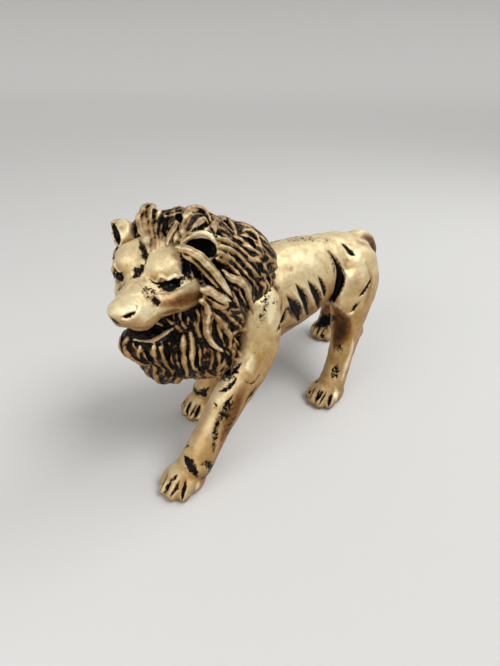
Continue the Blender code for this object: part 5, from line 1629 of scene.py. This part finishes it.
class LION_OT_studio(bpy.types.Operator):
    """Sets the floor, the lamps and the camera"""

    bl_idname = "lion.studio"
    bl_label = "Studio"

    def execute(self, context):
        settings = context.scene.lion_studio
        self.floor(settings)
        self.camera(context.scene)
        target = Vector(body_point(0, 0.2, 0.6))
        for name, offset, width in LAMPS:
            data = bpy.data.lights.new(name + "_lamp", "AREA")
            data.shape = "SQUARE"
            data.size = width
            data.energy = getattr(settings, name)
            lamp = link(name + "_lamp", data)
            lamp.location = target + Vector(offset)
            self.aim(lamp, offset)
        sun = bpy.data.lights.new("window_light", "SUN")
        sun.energy = settings.sun
        sun.angle = SUN_ANGLE
        self.aim(link("window_light", sun), SUN_DIRECTION)
        self.sky(settings)
        context.scene.view_settings.view_transform = "Standard"
        return {"FINISHED"}

    def aim(self, lamp, direction):
        """Turns a lamp to shine from that direction."""
        lamp.rotation_euler = Vector(direction).to_track_quat("Z", "Y").to_euler()

    def camera(self, scene):
        """The photograph's camera."""
        eye, right, up, back = camera_axes()
        data = bpy.data.cameras.new("photo_camera")
        data.sensor_fit = "VERTICAL"
        data.sensor_height = SENSOR_HEIGHT
        data.lens = FOCAL_PIXELS / PHOTO_HEIGHT * SENSOR_HEIGHT
        data.clip_start = CLIP_START
        data.clip_end = CLIP_END
        scene.camera = link("photo_camera", data)
        turn = Matrix(np.stack([right, up, back], axis=1)).to_4x4()
        scene.camera.matrix_world = Matrix.Translation(eye) @ turn

    def sky(self, settings):
        """Even light all round, which the camera sees as a pale backdrop."""
        world = bpy.data.worlds.new("studio")
        world.use_nodes = True
        tree = world.node_tree
        ambient = tree.nodes["Background"]
        ambient.inputs["Color"].default_value = AMBIENT_TINT
        ambient.inputs["Strength"].default_value = settings.world
        seen = tree.nodes.new("ShaderNodeBackground")
        seen.inputs["Color"].default_value = opaque(settings.backdrop)
        path = tree.nodes.new("ShaderNodeLightPath")
        either = tree.nodes.new("ShaderNodeMixShader")
        tree.links.new(path.outputs["Is Camera Ray"], either.inputs[0])
        tree.links.new(ambient.outputs[0], either.inputs[1])
        tree.links.new(seen.outputs[0], either.inputs[2])
        tree.links.new(either.outputs[0], tree.nodes["World Output"].inputs["Surface"])
        bpy.context.scene.world = world

    def floor(self, settings):
        """A floor that curves up into a backdrop behind the figure."""
        shader = Shader("studio_paper")
        cloud = shader.noise(PAPER_CLOUD_SIZE, 2)
        shade = shader.mix(cloud * 0.06, opaque(settings.floor), PAPER_TINT)
        paper = shader.surface(Base_Color=shade, Roughness=0.7)
        half, bend = FLOOR_HALF, FLOOR_BEND
        profile = [(-half, 0.0), (half - bend, 0.0)]
        for i in range(1, BEND_STEPS + 1):
            angle = math.pi / 2 * i / BEND_STEPS
            profile.append((half - bend + bend * math.sin(angle), bend - bend * math.cos(angle)))
        profile.append((half, half))
        turn = Matrix.Rotation(math.radians(CAMERA_AZIMUTH), 3, "Z")
        points = [turn @ Vector((x, y, z)) for x in (-half, half) for y, z in profile]
        n = len(profile)
        faces = [(i, i + 1, n + i + 1, n + i) for i in range(n - 1)]
        mesh = bpy.data.meshes.new("studio_floor")
        mesh.from_pydata([tuple(p) for p in points], [], faces)
        mesh.polygons.foreach_set("use_smooth", [True] * len(faces))
        mesh.materials.append(paper)
        link("studio_floor", mesh)


class LION_PT_panel(bpy.types.Panel):
    """Lists the figure's operators and settings"""

    bl_idname = "LION_PT_panel"
    bl_label = "Lion figure"
    bl_space_type = "VIEW_3D"
    bl_region_type = "UI"
    bl_category = "Lion"

    def draw(self, context):
        for operator in OPERATORS:
            self.layout.operator(operator.bl_idname)
        for group in (context.scene.lion_sizes, context.scene.lion_finish, context.scene.lion_studio):
            for name in group.__annotations__:
                self.layout.prop(group, name)


OPERATORS = (LION_OT_body, LION_OT_head, LION_OT_ears, LION_OT_eyes, LION_OT_mane, LION_OT_studio)
CLASSES = (LionSizes, LionFinish, LionStudio, *OPERATORS, LION_PT_panel)


def register():
    for cls in CLASSES:
        bpy.utils.register_class(cls)
    bpy.types.Scene.lion_sizes = PointerProperty(type=LionSizes)
    bpy.types.Scene.lion_finish = PointerProperty(type=LionFinish)
    bpy.types.Scene.lion_studio = PointerProperty(type=LionStudio)


def unregister():
    del bpy.types.Scene.lion_studio
    del bpy.types.Scene.lion_finish
    del bpy.types.Scene.lion_sizes
    for cls in reversed(CLASSES):
        bpy.utils.unregister_class(cls)


def main():
    """Builds the lion and the studio."""
    register()
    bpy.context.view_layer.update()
    bpy.ops.lion.body()
    bpy.ops.lion.head()
    bpy.ops.lion.ears()
    bpy.ops.lion.eyes()
    bpy.ops.lion.mane()
    bpy.ops.lion.studio()


if __name__ == "__main__":
    main()
